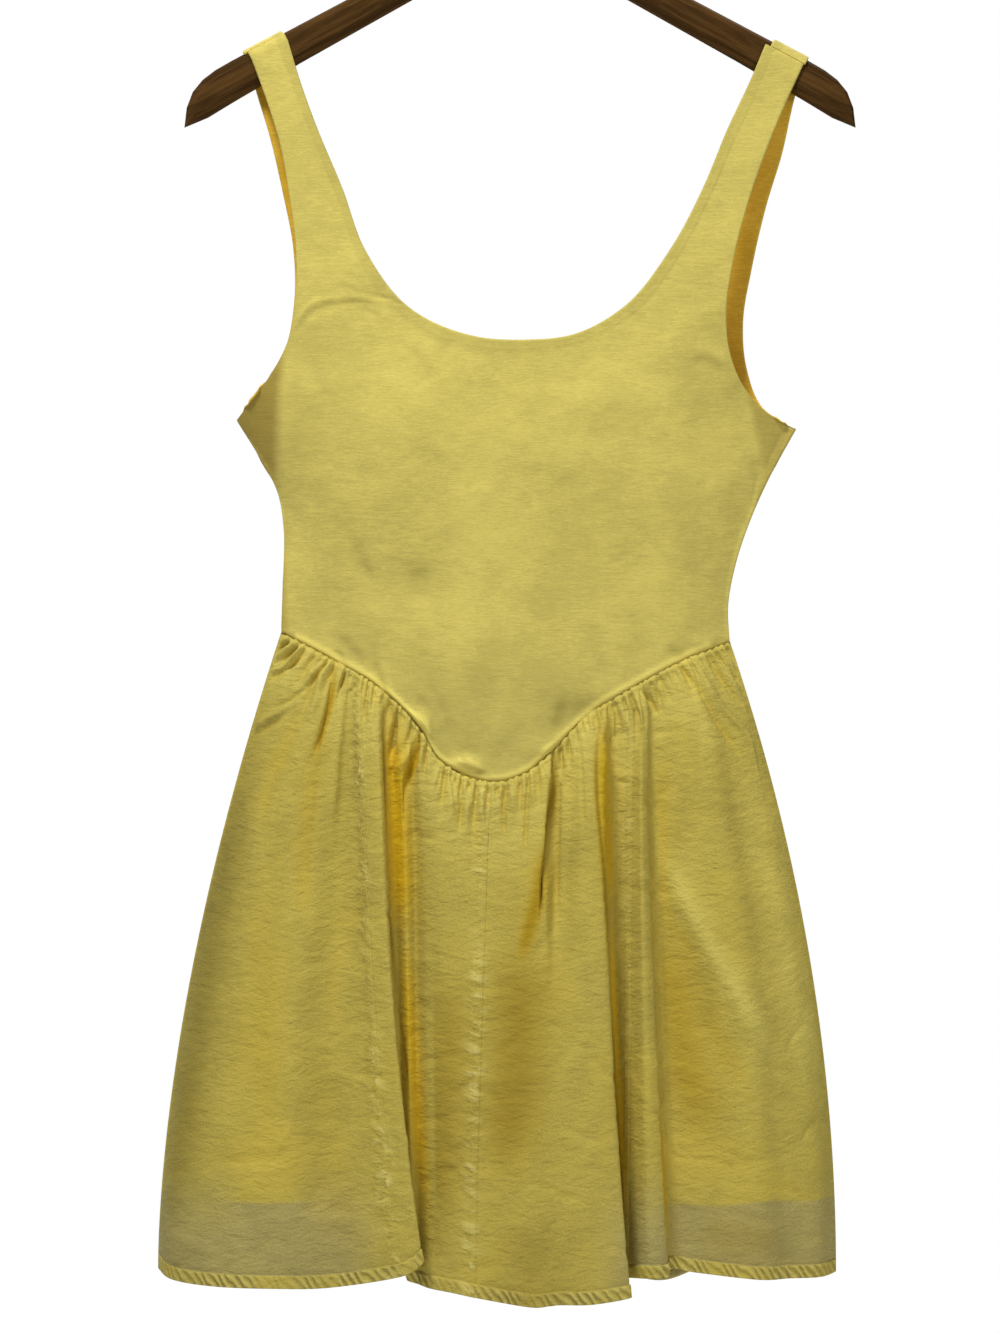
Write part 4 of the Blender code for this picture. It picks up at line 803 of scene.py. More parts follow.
def lawn_finish(name, colour, hollow, unlined_shade, panelled):
    """Thin crinkled lawn, plain as on the lining, or panelled as on the skirt with painted light and shade."""
    finish = Finish(name, colour, 0.74)
    weave_u = finish.noise(finish.place(UV, (420, 1500, 1)), 1.0, 3.0, 0.65)
    weave_v = finish.noise(finish.place(UV, (1500, 420, 1)), 1.0, 3.0, 0.65)
    grain = finish.noise(finish.place(UV), 760.0, 2.0, 0.7)
    mottle = finish.noise(finish.place(UV), 30.0, 5.0, 0.65, 0.4)
    tone = finish.range(weave_u * 0.24 + weave_v * 0.20 + grain * 0.26 + mottle * 0.30, 0.39, 0.61)
    shade = finish.blend(tone, shaded(colour, 0.83), shaded(colour, 1.12))
    tint = finish.range(finish.noise(finish.place(UV, (16, 9, 1)), 1.0, 3.0, 0.6, 0.5), 0.50, 0.72)
    shade = finish.blend(tint * 0.30, shade, TINT_COLOUR)
    fine = finish.relief(weave_u * 0.32 + weave_v * 0.28 + grain * 0.4, 0.00042)
    rising = finish.noise(finish.slanted(-0.22, 58, 185), 1.0, 3.0, 0.62, 0.5)
    falling = finish.noise(finish.slanted(0.30, 74, 215), 1.0, 3.0, 0.62, 0.5)
    normal = finish.relief(rising * 0.5 + falling * 0.5, 0.0024, fine)
    if panelled:
        shade, normal = panel_finish(finish, shade, normal, tone, hollow, unlined_shade)
    finish.feed("Base Color", shade)
    finish.feed("Normal", normal)
    finish.cloth_sheen(0.04, 0.4)
    return finish.material


def thread_finish(colour):
    """Slightly shiny sewing thread, twisted along its run."""
    finish = Finish("thread", colour, 0.5)
    twist = finish.noise(finish.place(OBJECT), 2200.0, 1.0)
    finish.feed("Base Color", finish.blend(twist, shaded(colour, 0.8), shaded(colour, 1.1)))
    return finish.material


def wood_finish(colour):
    """Dark stained wood, nearly matt, with its grain along each arm."""
    finish = Finish("stained_wood", colour, 0.42)
    x, y, z = finish.parts(finish.place(OBJECT))
    slope = math.atan(ARM_SLOPE)
    run = abs(x) * math.cos(slope) - z * math.sin(slope)
    across = abs(x) * math.sin(slope) + z * math.cos(slope)
    grain = finish.noise(finish.joined(run * 14, y * 260, across * 260), 1.0, 4.0, 0.62, 0.5)
    pore = finish.noise(finish.joined(run * 70, y * 1500, across * 1500), 1.0, 2.0)
    tone = finish.range(grain * 0.75 + pore * 0.25, 0.34, 0.68)
    finish.feed("Base Color", finish.blend(tone, shaded(colour, 0.55), shaded(colour, 1.45)))
    finish.feed("Roughness", 0.55 + pore * 0.2)
    finish.feed("Normal", finish.relief(grain * 0.4 + pore * 0.6, 0.00025))
    finish.shader.inputs["Specular IOR Level"].default_value = 0.02
    return finish.material


def steel_finish(colour):
    """Bright drawn wire with faint rubbing marks."""
    finish = Finish("bright_wire", colour, 0.22, 1.0)
    rub = finish.noise(finish.place(OBJECT), 420.0, 3.0)
    finish.feed("Roughness", 0.16 + rub * 0.16)
    return finish.material


def hermite(keys, values, at):
    """Smooth curve through values at keys, read at the places in at."""
    keys = np.asarray(keys, float)
    values = np.asarray(values, float)
    at = np.clip(np.asarray(at, float), keys[0], keys[-1])
    slopes = np.empty_like(values)
    steps = np.diff(keys).reshape((-1,) + (1,) * (values.ndim - 1))
    rises = np.diff(values, axis=0) / steps
    slopes[0], slopes[-1] = rises[0], rises[-1]
    slopes[1:-1] = (rises[:-1] * steps[1:] + rises[1:] * steps[:-1]) / (steps[:-1] + steps[1:])
    i = np.clip(np.searchsorted(keys, at, side="right") - 1, 0, len(keys) - 2)
    width = keys[i + 1] - keys[i]
    t = (at - keys[i]) / width
    extra = (1,) * (values.ndim - 1)
    t, width = t.reshape(t.shape + extra), width.reshape(width.shape + extra)
    return (
        (2 * t**3 - 3 * t**2 + 1) * values[i]
        + (t**3 - 2 * t**2 + t) * width * slopes[i]
        + (3 * t**2 - 2 * t**3) * values[i + 1]
        + (t**3 - t**2) * width * slopes[i + 1]
    )


def arc_lengths(points, axis=0):
    """How far along a line or grid of points each of them lies."""
    steps = np.linalg.norm(np.diff(points, axis=axis), axis=-1)
    return np.cumsum(np.insert(steps, 0, 0.0, axis=axis), axis=axis)


def along(points, shares):
    """Points of the smooth curve through points, at shares of its length."""
    points = np.asarray(points, float)
    chords = arc_lengths(points)
    fine = hermite(chords, points, np.linspace(0, chords[-1], 800))
    length = arc_lengths(fine)
    at = np.asarray(shares) * length[-1]
    return np.stack([np.interp(at, length, fine[:, k]) for k in range(fine.shape[1])], axis=-1)


def metres(outline):
    """An outline in millimetres, in metres."""
    return np.array(outline, float) * MM


def column(rows, name):
    """One field of every row of a table."""
    return [getattr(row, name) for row in rows]


def ease(share):
    """0 below 0 and 1 above 1, smooth between."""
    share = np.clip(share, 0, 1)
    return share * share * (3 - 2 * share)


def hill(*offsets):
    """A smooth hill, 1 at its middle. Its offsets are counted in its widths."""
    return np.exp(-sum(offset**2 for offset in offsets))


def held_off(points, room, outward):
    """Depths of points, each at least room from the plane of the side seams on its own side."""
    return outward * np.maximum(outward * points[..., 1], room)


def extended(values, before, after):
    """A grid of values with its first row repeated before it and its last row after it."""
    return np.concatenate([*[values[:1]] * before, values, *[values[-1:]] * after])


def turned_in(row, normals, steps):
    """Rows of cloth turned in from a row: for each of steps how far back and how far up, in millimetres."""
    rows = np.array([row - normals * back * MM for back, _ in steps])
    rows[:, :, 2] += np.array([up for _, up in steps])[:, None] * MM
    return rows


def linked(name, data):
    """A new object in the scene."""
    made = bpy.data.objects.new(name, data)
    bpy.context.scene.collection.objects.link(made)
    return made


def body_depth(x, z, side):
    """How far the cloth stands from the plane of the side seams at (x, z), on the front or back."""
    x, z = np.asarray(x, float), np.asarray(z, float)
    order = SECTIONS[::-1]
    keys = column(order, "z")
    left, right = hermite(keys, column(order, "left"), z), hermite(keys, column(order, "right"), z)
    turn_left = hermite(keys, column(order, "round_left"), z)
    turn_right = hermite(keys, column(order, "round_right"), z)
    out = np.where(x < 0, x / left, x / right)
    turn = np.where(x < 0, turn_left, turn_right)
    return hermite(keys, column(order, side), z) * (1 - np.clip(out, 0, 1) ** turn)


def loop_centre_z(x):
    """Height of the middle of the hanger's arm at x."""
    return LOOP_CENTRE_Z - ARM_SLOPE * np.abs(x)


def bodice_depth(x, z, side):
    """How far the bodice stands from the plane of the side seams, hugging the arm at its straps."""
    below = loop_centre_z(x) - z
    reach = ease((below - STRAP_HUG) / STRAP_RUN)
    return LOOP_RADIUS * (1 - reach) + body_depth(x, z, side) * reach


def normals_of(grid, outward_y):
    """Unit normals of a grid of points, turned so that its middle faces outward_y."""
    down, across = np.gradient(grid, axis=0), np.gradient(grid, axis=1)
    normals = np.cross(down, across)
    normals /= np.maximum(np.linalg.norm(normals, axis=2, keepdims=True), 1e-12)
    middle = normals[normals.shape[0] // 2, normals.shape[1] // 2]
    return normals if middle[1] * outward_y > 0 else -normals


def swell_along(x, z, path, width, height):
    """Height of a crease at points (x, z), all in metres, with its path and sizes in millimetres."""
    path = along(metres(path), np.linspace(0, 1, 24))
    width = width * MM
    reach = 4 * width
    near = (
        (x > path[:, 0].min() - reach) & (x < path[:, 0].max() + reach)
        & (z > path[:, 1].min() - reach) & (z < path[:, 1].max() + reach)
    )
    px, pz = x[near], z[near]
    nearest, share = np.full(px.shape, np.inf), np.zeros(px.shape)
    for k, (a, b) in enumerate(zip(path, path[1:])):
        run = b - a
        t = np.clip(((px - a[0]) * run[0] + (pz - a[1]) * run[1]) / (run @ run), 0, 1)
        gap = np.hypot(px - a[0] - t * run[0], pz - a[1] - t * run[1])
        closer = gap < nearest
        nearest[closer] = gap[closer]
        share[closer] = ((k + t) / (len(path) - 1))[closer]
    taper = ease(share / 0.3) * ease((1 - share) / 0.3)
    swell = np.zeros(x.shape)
    swell[near] = height * MM * hill(nearest / width) * (0.15 + 0.85 * taper)
    return swell


def as_mesh(name, points, faces, uvs, finish, marks):
    """A smooth object of numbered points and four-sided faces, with its cloth map and marks for its finish."""
    mesh = bpy.data.meshes.new(name)
    mesh.from_pydata(points.tolist(), [], faces.tolist())
    layer = mesh.uv_layers.new(name="cloth")
    layer.data.foreach_set("uv", uvs[faces.ravel()].astype(np.float32).ravel())
    for mark, values in marks.items():
        mesh.attributes.new(mark, "FLOAT", "POINT").data.foreach_set("value", values.ravel().astype(np.float32))
    mesh.materials.append(finish)
    mesh.validate()
    mesh.shade_smooth()
    return linked(name, mesh)


def grid_faces(rows, columns, flip):
    """Faces of a grid of numbered points."""
    corner = (np.arange(rows - 1)[:, None] * columns + np.arange(columns - 1)[None, :]).ravel()
    faces = np.stack([corner, corner + 1, corner + columns + 1, corner + columns], axis=1)
    return faces[:, ::-1] if flip else faces


def faces_out(grid, outward_y):
    """Whether a grid's faces have to be flipped to face outward_y."""
    middle = grid[grid.shape[0] // 2, grid.shape[1] // 2]
    beside = grid[grid.shape[0] // 2, grid.shape[1] // 2 + 1]
    below = grid[grid.shape[0] // 2 + 1, grid.shape[1] // 2]
    return np.cross(beside - middle, below - middle)[1] * outward_y < 0


def rounded_wall(name, outer, inner, uvs, shade, dip, finish, outward_y):
    """Closed wall of cloth from an outer and an inner grid, its rim closed all round. Its dips, turned sides,
    waist and neckline get painted shade, its rolls painted highlights, and its inside a painted warm shade.
    """
    rows, columns = outer.shape[:2]
    count = rows * columns
    flip = faces_out(outer, outward_y)
    front = grid_faces(rows, columns, flip)
    back = grid_faces(rows, columns, not flip) + count
    at = np.arange(count).reshape(rows, columns)
    rim = np.concatenate([at[0], at[1:, -1], at[-1, -2::-1], at[-2:0:-1, 0], at[0, :1]])
    edge = np.stack([rim[1:], rim[:-1], rim[:-1] + count, rim[1:] + count], axis=1)
    faces = np.concatenate([front, back, edge[:, ::-1] if flip else edge])
    points = np.concatenate([outer.reshape(-1, 3), inner.reshape(-1, 3)])
    # painted shade towards the waist and along the neckline, with the painted shade and highlights of the dips
    # and rolls
    low = (ease((LOW_START - points[:, 2] / MM) / LOW_FADE) * LOW_SHADE).reshape(2, rows, columns)
    low[0, :, -NECK_BAND:] = np.maximum(low[0, :, -NECK_BAND:], NECK_SHADE)
    low[0] += dip
    marks = {"hollow": np.concatenate([shade.ravel(), np.full(count, INSIDE_SHADE)]), "shaded": low}
    return as_mesh(name, points, faces, np.concatenate([uvs.reshape(-1, 2)] * 2), finish, marks)


def painted_side_shade(grid, side):
    """How much painted shade each point of the bodice gets past the line where its side turns back, from 0 to 1.
    """
    x, z = grid[:, :, 0] / MM, grid[:, :, 2] / MM
    past = np.zeros(x.shape)
    for turn in TURNS[side]:
        line_x, line_z = np.array(turn.line[::-1], float).T
        line = np.interp(z, line_z, line_x)
        start = ease((z - turn.low[0]) / turn.low[1]) * ease((turn.high[0] - z) / turn.high[1])
        past += ease(turn.way * (x - line) / turn.soft) * start * turn.dark
    return np.clip(past, 0, 1)


def rib_shares(length, steps):
    """Shares across a rib, crowded towards both of its edges."""
    edge = np.array(RIB_EDGE) * MM
    edge = edge * min(1.0, 0.42 * length / edge[-1])
    middle = np.linspace(edge[-1], length - edge[-1], steps - 2 * len(edge) + 3)[1:-1]
    return np.concatenate([edge, middle, length - edge[::-1]]) / length


def loop_ribs(outer_xz, inner_xz, angles, radius, shares):
    """Ribs of a strap where it turns over the arm. An angle of 90 degrees is the arm's front face."""
    side = -1 if outer_xz[0] < 0 else 1
    ridge = np.array([side * ARM_SLOPE, 1.0]) / math.hypot(1, ARM_SLOPE)
    centre = outer_xz * (1 - shares[:, None]) + inner_xz * shares[:, None]
    ribs = []
    for angle in angles:
        xz = centre + radius[:, None] * math.cos(angle) * ridge
        ribs.append(np.stack([xz[:, 0], -radius * math.sin(angle), xz[:, 1]], axis=1))
    return ribs


def bodice_ribs(edges, neck, spans, side, detail, steps):
    """Ribs of a bodice panel from its outer edges to its neckline, the shares across each and its length."""
    ribs, shares, widths = [], [], []
    for k, (edge, count) in enumerate(zip(edges, spans)):
        places = np.linspace(0, 1, count * detail + 1)[(1 if k else 0):]
        outer = along(metres(edge), places)
        inner = along(neck, NECK_SHARES[k] + (NECK_SHARES[k + 1] - NECK_SHARES[k]) * places)
        for a, b in zip(outer, inner):
            widths.append(float(np.linalg.norm(b - a)))
            shares.append(rib_shares(widths[-1], steps))
            x, z = (a * (1 - shares[-1][:, None]) + b * shares[-1][:, None]).T
            ribs.append(np.stack([x, OUTWARD[side] * bodice_depth(x, z, side), z], axis=1))
    return np.array(ribs), np.array(shares), np.array(widths)[:, None]


def bodice_relief(x, z, side):
    """Relief of the bodice's creases and puffs, and of small uneven dimples between them."""
    relief = np.zeros(x.shape)
    if side == "front":
        for crease in BODICE_CREASES:
            relief += swell_along(x, z, crease.path, crease.width, crease.height)
        for puff in BODICE_PUFFS:
            relief += puff.swell * MM * hill((x / MM - puff.x) / puff.wide, (z / MM - puff.z) / puff.high)
    draw = random.Random(DIMPLE_SEED)
    for _ in range(DIMPLES):
        middle_x, middle_z = draw.uniform(*DIMPLE_X), draw.uniform(*DIMPLE_Z)
        wide, high = draw.uniform(*DIMPLE_WIDE), draw.uniform(*DIMPLE_HIGH)
        height = draw.uniform(*DIMPLE_DEPTH) * min(wide, high) * MM
        relief += height * hill((x / MM - middle_x) / wide, (z / MM - middle_z) / high)
    return relief


def bodice_walls(edges, neck, spans, side, seam_angles, detail, steps):
    """Outer and inner grids of a bodice panel with its rolled edges, and the painted shade of each dip, a
    painted highlight below 0.
    """
    outward = OUTWARD[side]
    neck = metres(neck)
    ribs, shares, widths = bodice_ribs(edges, neck, spans, side, detail, steps)
    normals = normals_of(ribs, outward)
    middle = ribs - normals * JERSEY_WALL / 2
    x, z = ribs[:, :, 0], ribs[:, :, 2]
    from_edge = np.minimum(shares, 1 - shares) * widths
    from_neck, from_outside = (1 - shares) * widths / MM, shares * widths / MM
    relief = bodice_relief(x, z, side) * (ease(from_edge / (EDGE_CALM * MM)) * 0.5 + 0.5)
    # painted shade in the troughs, and painted highlight on the high rolls
    dip = np.clip(-relief / CREASE_DEEP, -0.3, 1) * CREASE_SHADE
    dip -= np.clip(relief / ROLL_HIGH - 1, 0, 1) * ROLL_LIGHT
    place, width, height = NECK_RIDGE
    relief += height * MM * hill((from_neck - place) / width)
    relief += NECK_RISE * MM * ease(from_neck) * (1 - ease((from_neck - place) / NECK_FALL))
    place, width, height = WAIST_ROLL
    first_waist = (spans[0] + spans[1]) * detail
    at_waist = np.zeros((len(ribs), 1))
    at_waist[first_waist + WAIST_ROLL_ENDS : first_waist + spans[2] * detail - WAIST_ROLL_ENDS] = 1
    waist_roll = hill((from_outside - place) / width) * at_waist
    relief += height * MM * waist_roll
    # painted highlight along the waist roll
    dip -= WAIST_LIGHT * waist_roll
    half = np.full(x.shape, JERSEY_WALL / 2)
    half *= np.sqrt(np.clip(1 - (1 - np.minimum(from_edge / (EDGE_ROUND * MM), 1)) ** 2, 0.03, 1))
    below_strap = loop_centre_z(x) - STRAP_HUG - z
    relief *= ease(below_strap / STRAP_FADE)
    outer = middle + normals * (half + relief)[:, :, None]
    inner = middle - normals * (half - relief * CREASES_INSIDE)[:, :, None]
    for points, room in ((outer, 2 * half), (inner, 0.0)):
        kept = held_off(points, room - SEAM_LAP, outward)
        points[..., 1] = np.where(below_strap > 0, kept, points[..., 1])
    quarter = math.pi / 2 * -outward
    grids = []
    for points, sign in ((outer, 1), (inner, -1)):
        loops = []
        for angle, end, edge in zip(seam_angles, (0, -1), (edges[0], edges[-1])):
            radius = LOOP_RADIUS - JERSEY_WALL / 2 + sign * half[end]
            count = max(2, round(abs(angle - quarter) / LOOP_STEP))
            angles = np.linspace(angle, quarter, count + 1)[:-1]
            loops.append(loop_ribs(metres(edge[end]), neck[end], angles, radius, shares[end]))
        grids.append(np.array([*loops[0], *points, *loops[1][::-1]]))
    return *grids, np.pad(dip, ((len(loops[0]), len(loops[1])), (0, 0)))


def flat_map(grid):
    """Map of a grid on its flat cloth, in metres."""
    v = arc_lengths(grid).mean(axis=1)[:, None]
    return np.stack(np.broadcast_arrays(arc_lengths(grid, 1), v), axis=2)


def grid_area(grid):
    """Area of a grid of points."""
    across, down = np.diff(grid, axis=1), np.diff(grid, axis=0)
    crossed = np.cross(across[:-1], down[:, :-1])
    return float(np.linalg.norm(crossed, axis=2).sum())


def declare_sheet(piece, grid, held, rests_on, width, length, with_pieces=()):
    """Works out the piece's area, at most that of the flat cloth it was cut from; nothing is done with it."""
    area = min(grid_area(grid), 0.999 * width * length)


def ride(piece, slot, *nodes):
    """Hangs the piece from the root body and hides the solids that it replaces; its slot is not used."""
    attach(piece, "root")
    if nodes:
        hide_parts(*nodes)


def waist_line(waist, spans, detail):
    """Points of the waist seam as seen from the front, and its slope at each."""
    line = along(metres(waist), np.linspace(0, 1, spans[2] * detail + 1))
    slopes = np.gradient(line[:, 1], line[:, 0])
    return line, slopes


def bowed(share, bow):
    """A share that runs early where bow is above 0 and late where it is below."""
    early = 1 - (1 - share) ** (1 + np.maximum(bow, 0))
    late = share ** (1 - np.minimum(bow, 0))
    return np.where(bow >= 0, early, late)


def skirt_base(folds, waist, spans, side, detail, width, hem_width):
    """Smooth points of one side of the skirt: grid, how far down each row is, guide index and seams."""
    outward = OUTWARD[side]
    line, slopes = waist_line(waist, spans, detail)
    steps, seams = [], []
    for k, (a, b) in enumerate(zip(folds, folds[1:])):
        rise = np.interp(b.waist_x, *line.T) - np.interp(a.waist_x, *line.T)
        count = math.ceil(max(
            math.hypot(b.waist_x - a.waist_x, rise) / width,
            math.hypot(b.hem_x - a.hem_x, b.hem_y - a.hem_y) / hem_width,
        ))
        if a.name.startswith("seam "):
            seams.append(len(steps))
        steps += [k + j / count for j in range(count)]
    steps = np.array(steps + [len(folds) - 1], float)
    guide = {name: hermite(range(len(folds)), column(folds, name), steps) for name in Fold._fields[1:]}
    filled = column(folds, "swell")
    crease, crease_swell, crease_from, crease_to = CREASE_END
    if side == "front":
        filled[crease] = crease_swell
    filled = hermite(range(len(folds)), filled, steps)
    top_x = guide["waist_x"]
    top_z, slope = np.interp(top_x, *line.T), np.interp(top_x, line[:, 0], slopes)
    steep = np.sqrt(1 + slope**2)
    edge = SKIRT_DROP * steep
    top_y = outward * (body_depth(top_x, top_z, side) - SKIRT_INSET)
    length = top_z - edge - guide["hem_z"]
    near = np.arange(NEAR_WAIST + 1) * MM
    hem = np.array(HEM_ROWS) * MM
    plain = length - near[-1] - hem[0]
    downs = [np.full(len(steps), down) for down in near]
    downs += [near[-1] + share * plain for share in np.linspace(0, 1, PLAIN_ROWS)[1:]]
    downs += [length - height for height in hem[1:]]
    inwards = ease(np.minimum(steps, len(folds) - 1 - steps))
    rows = []
    for down in downs:
        share = down / length
        end = ease((share - crease_from) / (crease_to - crease_from))
        height = guide["swell"] * (1 - end) + filled * end
        swell = 4 * np.sqrt(share) * (1 - np.sqrt(share)) * height
        fan = FAN_SHIFT * slope / steep * down * np.exp(-down / FAN_FADE) * inwards
        x = top_x + (guide["hem_x"] - top_x) * bowed(share, guide["bow"]) + fan
        y = top_y + (guide["hem_y"] - top_y) * (1 - (1 - share) ** DEPTH_BOW) + outward * swell
        rows.append(np.stack([x, y, top_z - edge - down], axis=1))
    return np.array(rows), np.array(downs), steps, seams


def small_gathers(line, leans, seed):
    """Places, lengths and sizes of the small gathers along the waist, in millimetres."""
    draw = random.Random(seed)
    x = line[0, 0] / MM + 3
    gathers = []
    while x < line[-1, 0] / MM - 3:
        size = draw.uniform(0, 1) ** 1.3
        gathers.append((
            x,
            GATHER_LENGTH[0] + (GATHER_LENGTH[1] - GATHER_LENGTH[0]) * size * draw.uniform(0.6, 1),
            GATHER_HEIGHT[0] + (GATHER_HEIGHT[1] - GATHER_HEIGHT[0]) * size,
            draw.uniform(*GATHER_WIDTH),
            float(np.interp(x, column(leans, "x"), column(leans, "lean"))) * draw.uniform(0.75, 1.2),
        ))
        x += draw.uniform(*GATHER_GAP)
    return gathers


def gather_relief(grid, downs, line, leans, seed):
    """Relief of the small gathers: narrow troughs that leave the seam, with the cloth puffed between."""
    relief = np.zeros(downs.shape)
    rows = int((downs[:, 0] < GATHER_REACH * MM).sum())
    x, z = grid[:rows, :, 0] / MM, grid[:rows, :, 2] / MM
    top_x = grid[0, :, 0] / MM
    down = downs[:rows] / MM
    rim_off, rim_wide, rim_high = GATHER_RIM
    for start, length, height, width, lean in small_gathers(line, leans, seed):
        top = float(np.interp(start, *line.T / MM))
        drop = top - z
        leaning = np.exp(-np.maximum(drop, 0) / LEAN_FADE)
        path = start + lean * LEAN_FADE * (1 - leaning)
        gap = (x - path) * (1 / np.sqrt(1 + (lean * leaning) ** 2))
        wide = width * (1 + GATHER_SPREAD * np.maximum(down, 0))
        rise = 0.45 + 0.55 * ease(down / 5)
        fade = ease((length - drop) / (0.75 * length)) * (np.abs(top_x - start) < 30 + length)
        trough = rim_high * hill((np.abs(gap) - rim_off * wide) / (rim_wide * wide)) - hill(gap / wide)
        relief[:rows] += height * MM * trough * rise * fade
    return relief


def seam_puckers(grid, downs, seams, shares, seed):
    """Relief of the puckered topstitching beside the panel seams, and how near each point is to it."""
    relief, nearness = np.zeros(downs.shape), np.zeros(downs.shape)
    draw = random.Random(seed)
    arc = arc_lengths(grid, 1) / MM
    (outer, outer_soft), (inner, inner_soft) = SEAM_BAND
    for seam, share in zip(seams, shares):
        gap = arc - arc[:, seam : seam + 1]
        nearness = np.maximum(nearness, share * hill((gap + PUCKERED[0]) / PUCKERED[1]))
        relief += BAND_RAISE * MM * (ease((gap + outer) / outer_soft) - ease((gap + inner) / inner_soft))
        relief -= STITCH_GROOVE[1] * MM * hill((gap + STITCH_LINE) / STITCH_GROOVE[0])
        at, end = PUCKER_ENDS[0], float(downs[:, seam].max() / MM) - PUCKER_ENDS[1]
        while at < end:
            tall, reach = draw.uniform(*PUCKER_TALL), draw.uniform(*PUCKER_REACH)
            height = draw.uniform(*PUCKER_HEIGHT) * share
            lean = draw.uniform(*PUCKER_LEAN)
            here = downs / MM - at - lean * (gap + 5)
            relief += height * MM * hill(here / tall, (gap + 5.0) / reach)
            at += draw.uniform(*PUCKER_STEP)
    return relief, nearness


def crumple(grid, downs, seed):
    """Soft uneven wrinkles pressed into the lawn, lying across it with a slant that follows the flare."""
    relief = np.zeros(downs.shape)
    draw = random.Random(seed)
    x, z = grid[:, :, 0] / MM, grid[:, :, 2] / MM
    low, high = x.min(), x.max()
    for _ in range(WRINKLES):
        middle_x, middle_z = draw.uniform(low, high), draw.uniform(*WRINKLE_Z)
        turn = WRINKLE_FLARE * middle_x + draw.gauss(0, WRINKLE_SPREAD)
        length, width = draw.uniform(*WRINKLE_LENGTH), draw.uniform(*WRINKLE_WIDTH)
        height = draw.uniform(*WRINKLE_HEIGHT) * width
        curl = draw.uniform(*WRINKLE_CURL)
        near = (np.abs(x - middle_x) < 2.2 * length) & (np.abs(z - middle_z) < 2.2 * length)
        dx, dz = x[near] - middle_x, z[near] - middle_z
        run = dx * math.cos(turn) + dz * math.sin(turn)
        off = -dx * math.sin(turn) + dz * math.cos(turn) - curl * run**2
        relief[near] += height * MM * hill(run / length, off / width)
    return relief


def hem_band(downs):
    """The turned hem: a raised band with a stitched groove above it."""
    up = (downs[-1] - downs) / MM
    above, width, depth = HEM_GROOVE
    band = 1 - ease((up - HEM_BAND) / HEM_SOFT)
    return HEM_RAISE * MM * band - depth * MM * hill((up - HEM_BAND - above) / width)


def smoothed(values, reach):
    """Values averaged along the second axis over about reach columns on each side."""
    kernel = np.exp(-(np.linspace(-2, 2, 4 * reach + 1) ** 2))
    kernel /= kernel.sum()
    padded = np.pad(values, ((0, 0), (2 * reach, 2 * reach)), mode="edge")
    return np.apply_along_axis(lambda row: np.convolve(row, kernel, mode="valid"), 1, padded)


def within(steps, entry, soft, lead=0.0):
    """The columns that a crease belongs to, and how far inside its limits each of them lies, from 0 to 1."""
    mine = (steps >= entry.first) & (steps <= entry.last)
    return mine, ease((steps[mine] - entry.first + lead) / soft) * ease((entry.last - steps[mine]) / soft)


def skirt_shades(side, grid, relief, steps, from_side):
    """How deep in a fold each point of the skirt lies, for its painted warm shade, and how much painted shade it
    gets, or painted highlight where below 0.
    """
    forward = OUTWARD[side] * grid[:, :, 1]
    behind = smoothed(forward, FOLD_COLUMNS) - forward
    deep = np.clip((behind - FOLD_FROM) / FOLD_OVER, 0, 1) * ease(from_side / 3)
    deep = np.maximum(0.75 * deep, 0.45 * np.clip(-relief / FOLD_CREASE, 0, 1))
    dark, lit = np.zeros(deep.shape), np.zeros(deep.shape)
    x, z = grid[:, :, 0], grid[:, :, 2]
    for valley in SKIRT_VALLEYS if side == "front" else ():
        mine, inside = within(steps, valley, 0.2, 0.01)
        dip = inside * swell_along(x[:, mine], z[:, mine], valley.path, valley.width, 1.0) / MM
        deep[:, mine] = np.maximum(deep[:, mine], dip * valley.depth)
        dark[:, mine] = np.maximum(dark[:, mine], dip * valley.shade)
        lit[:, mine] = np.maximum(lit[:, mine], -dip * valley.shade)
    return deep, dark - lit


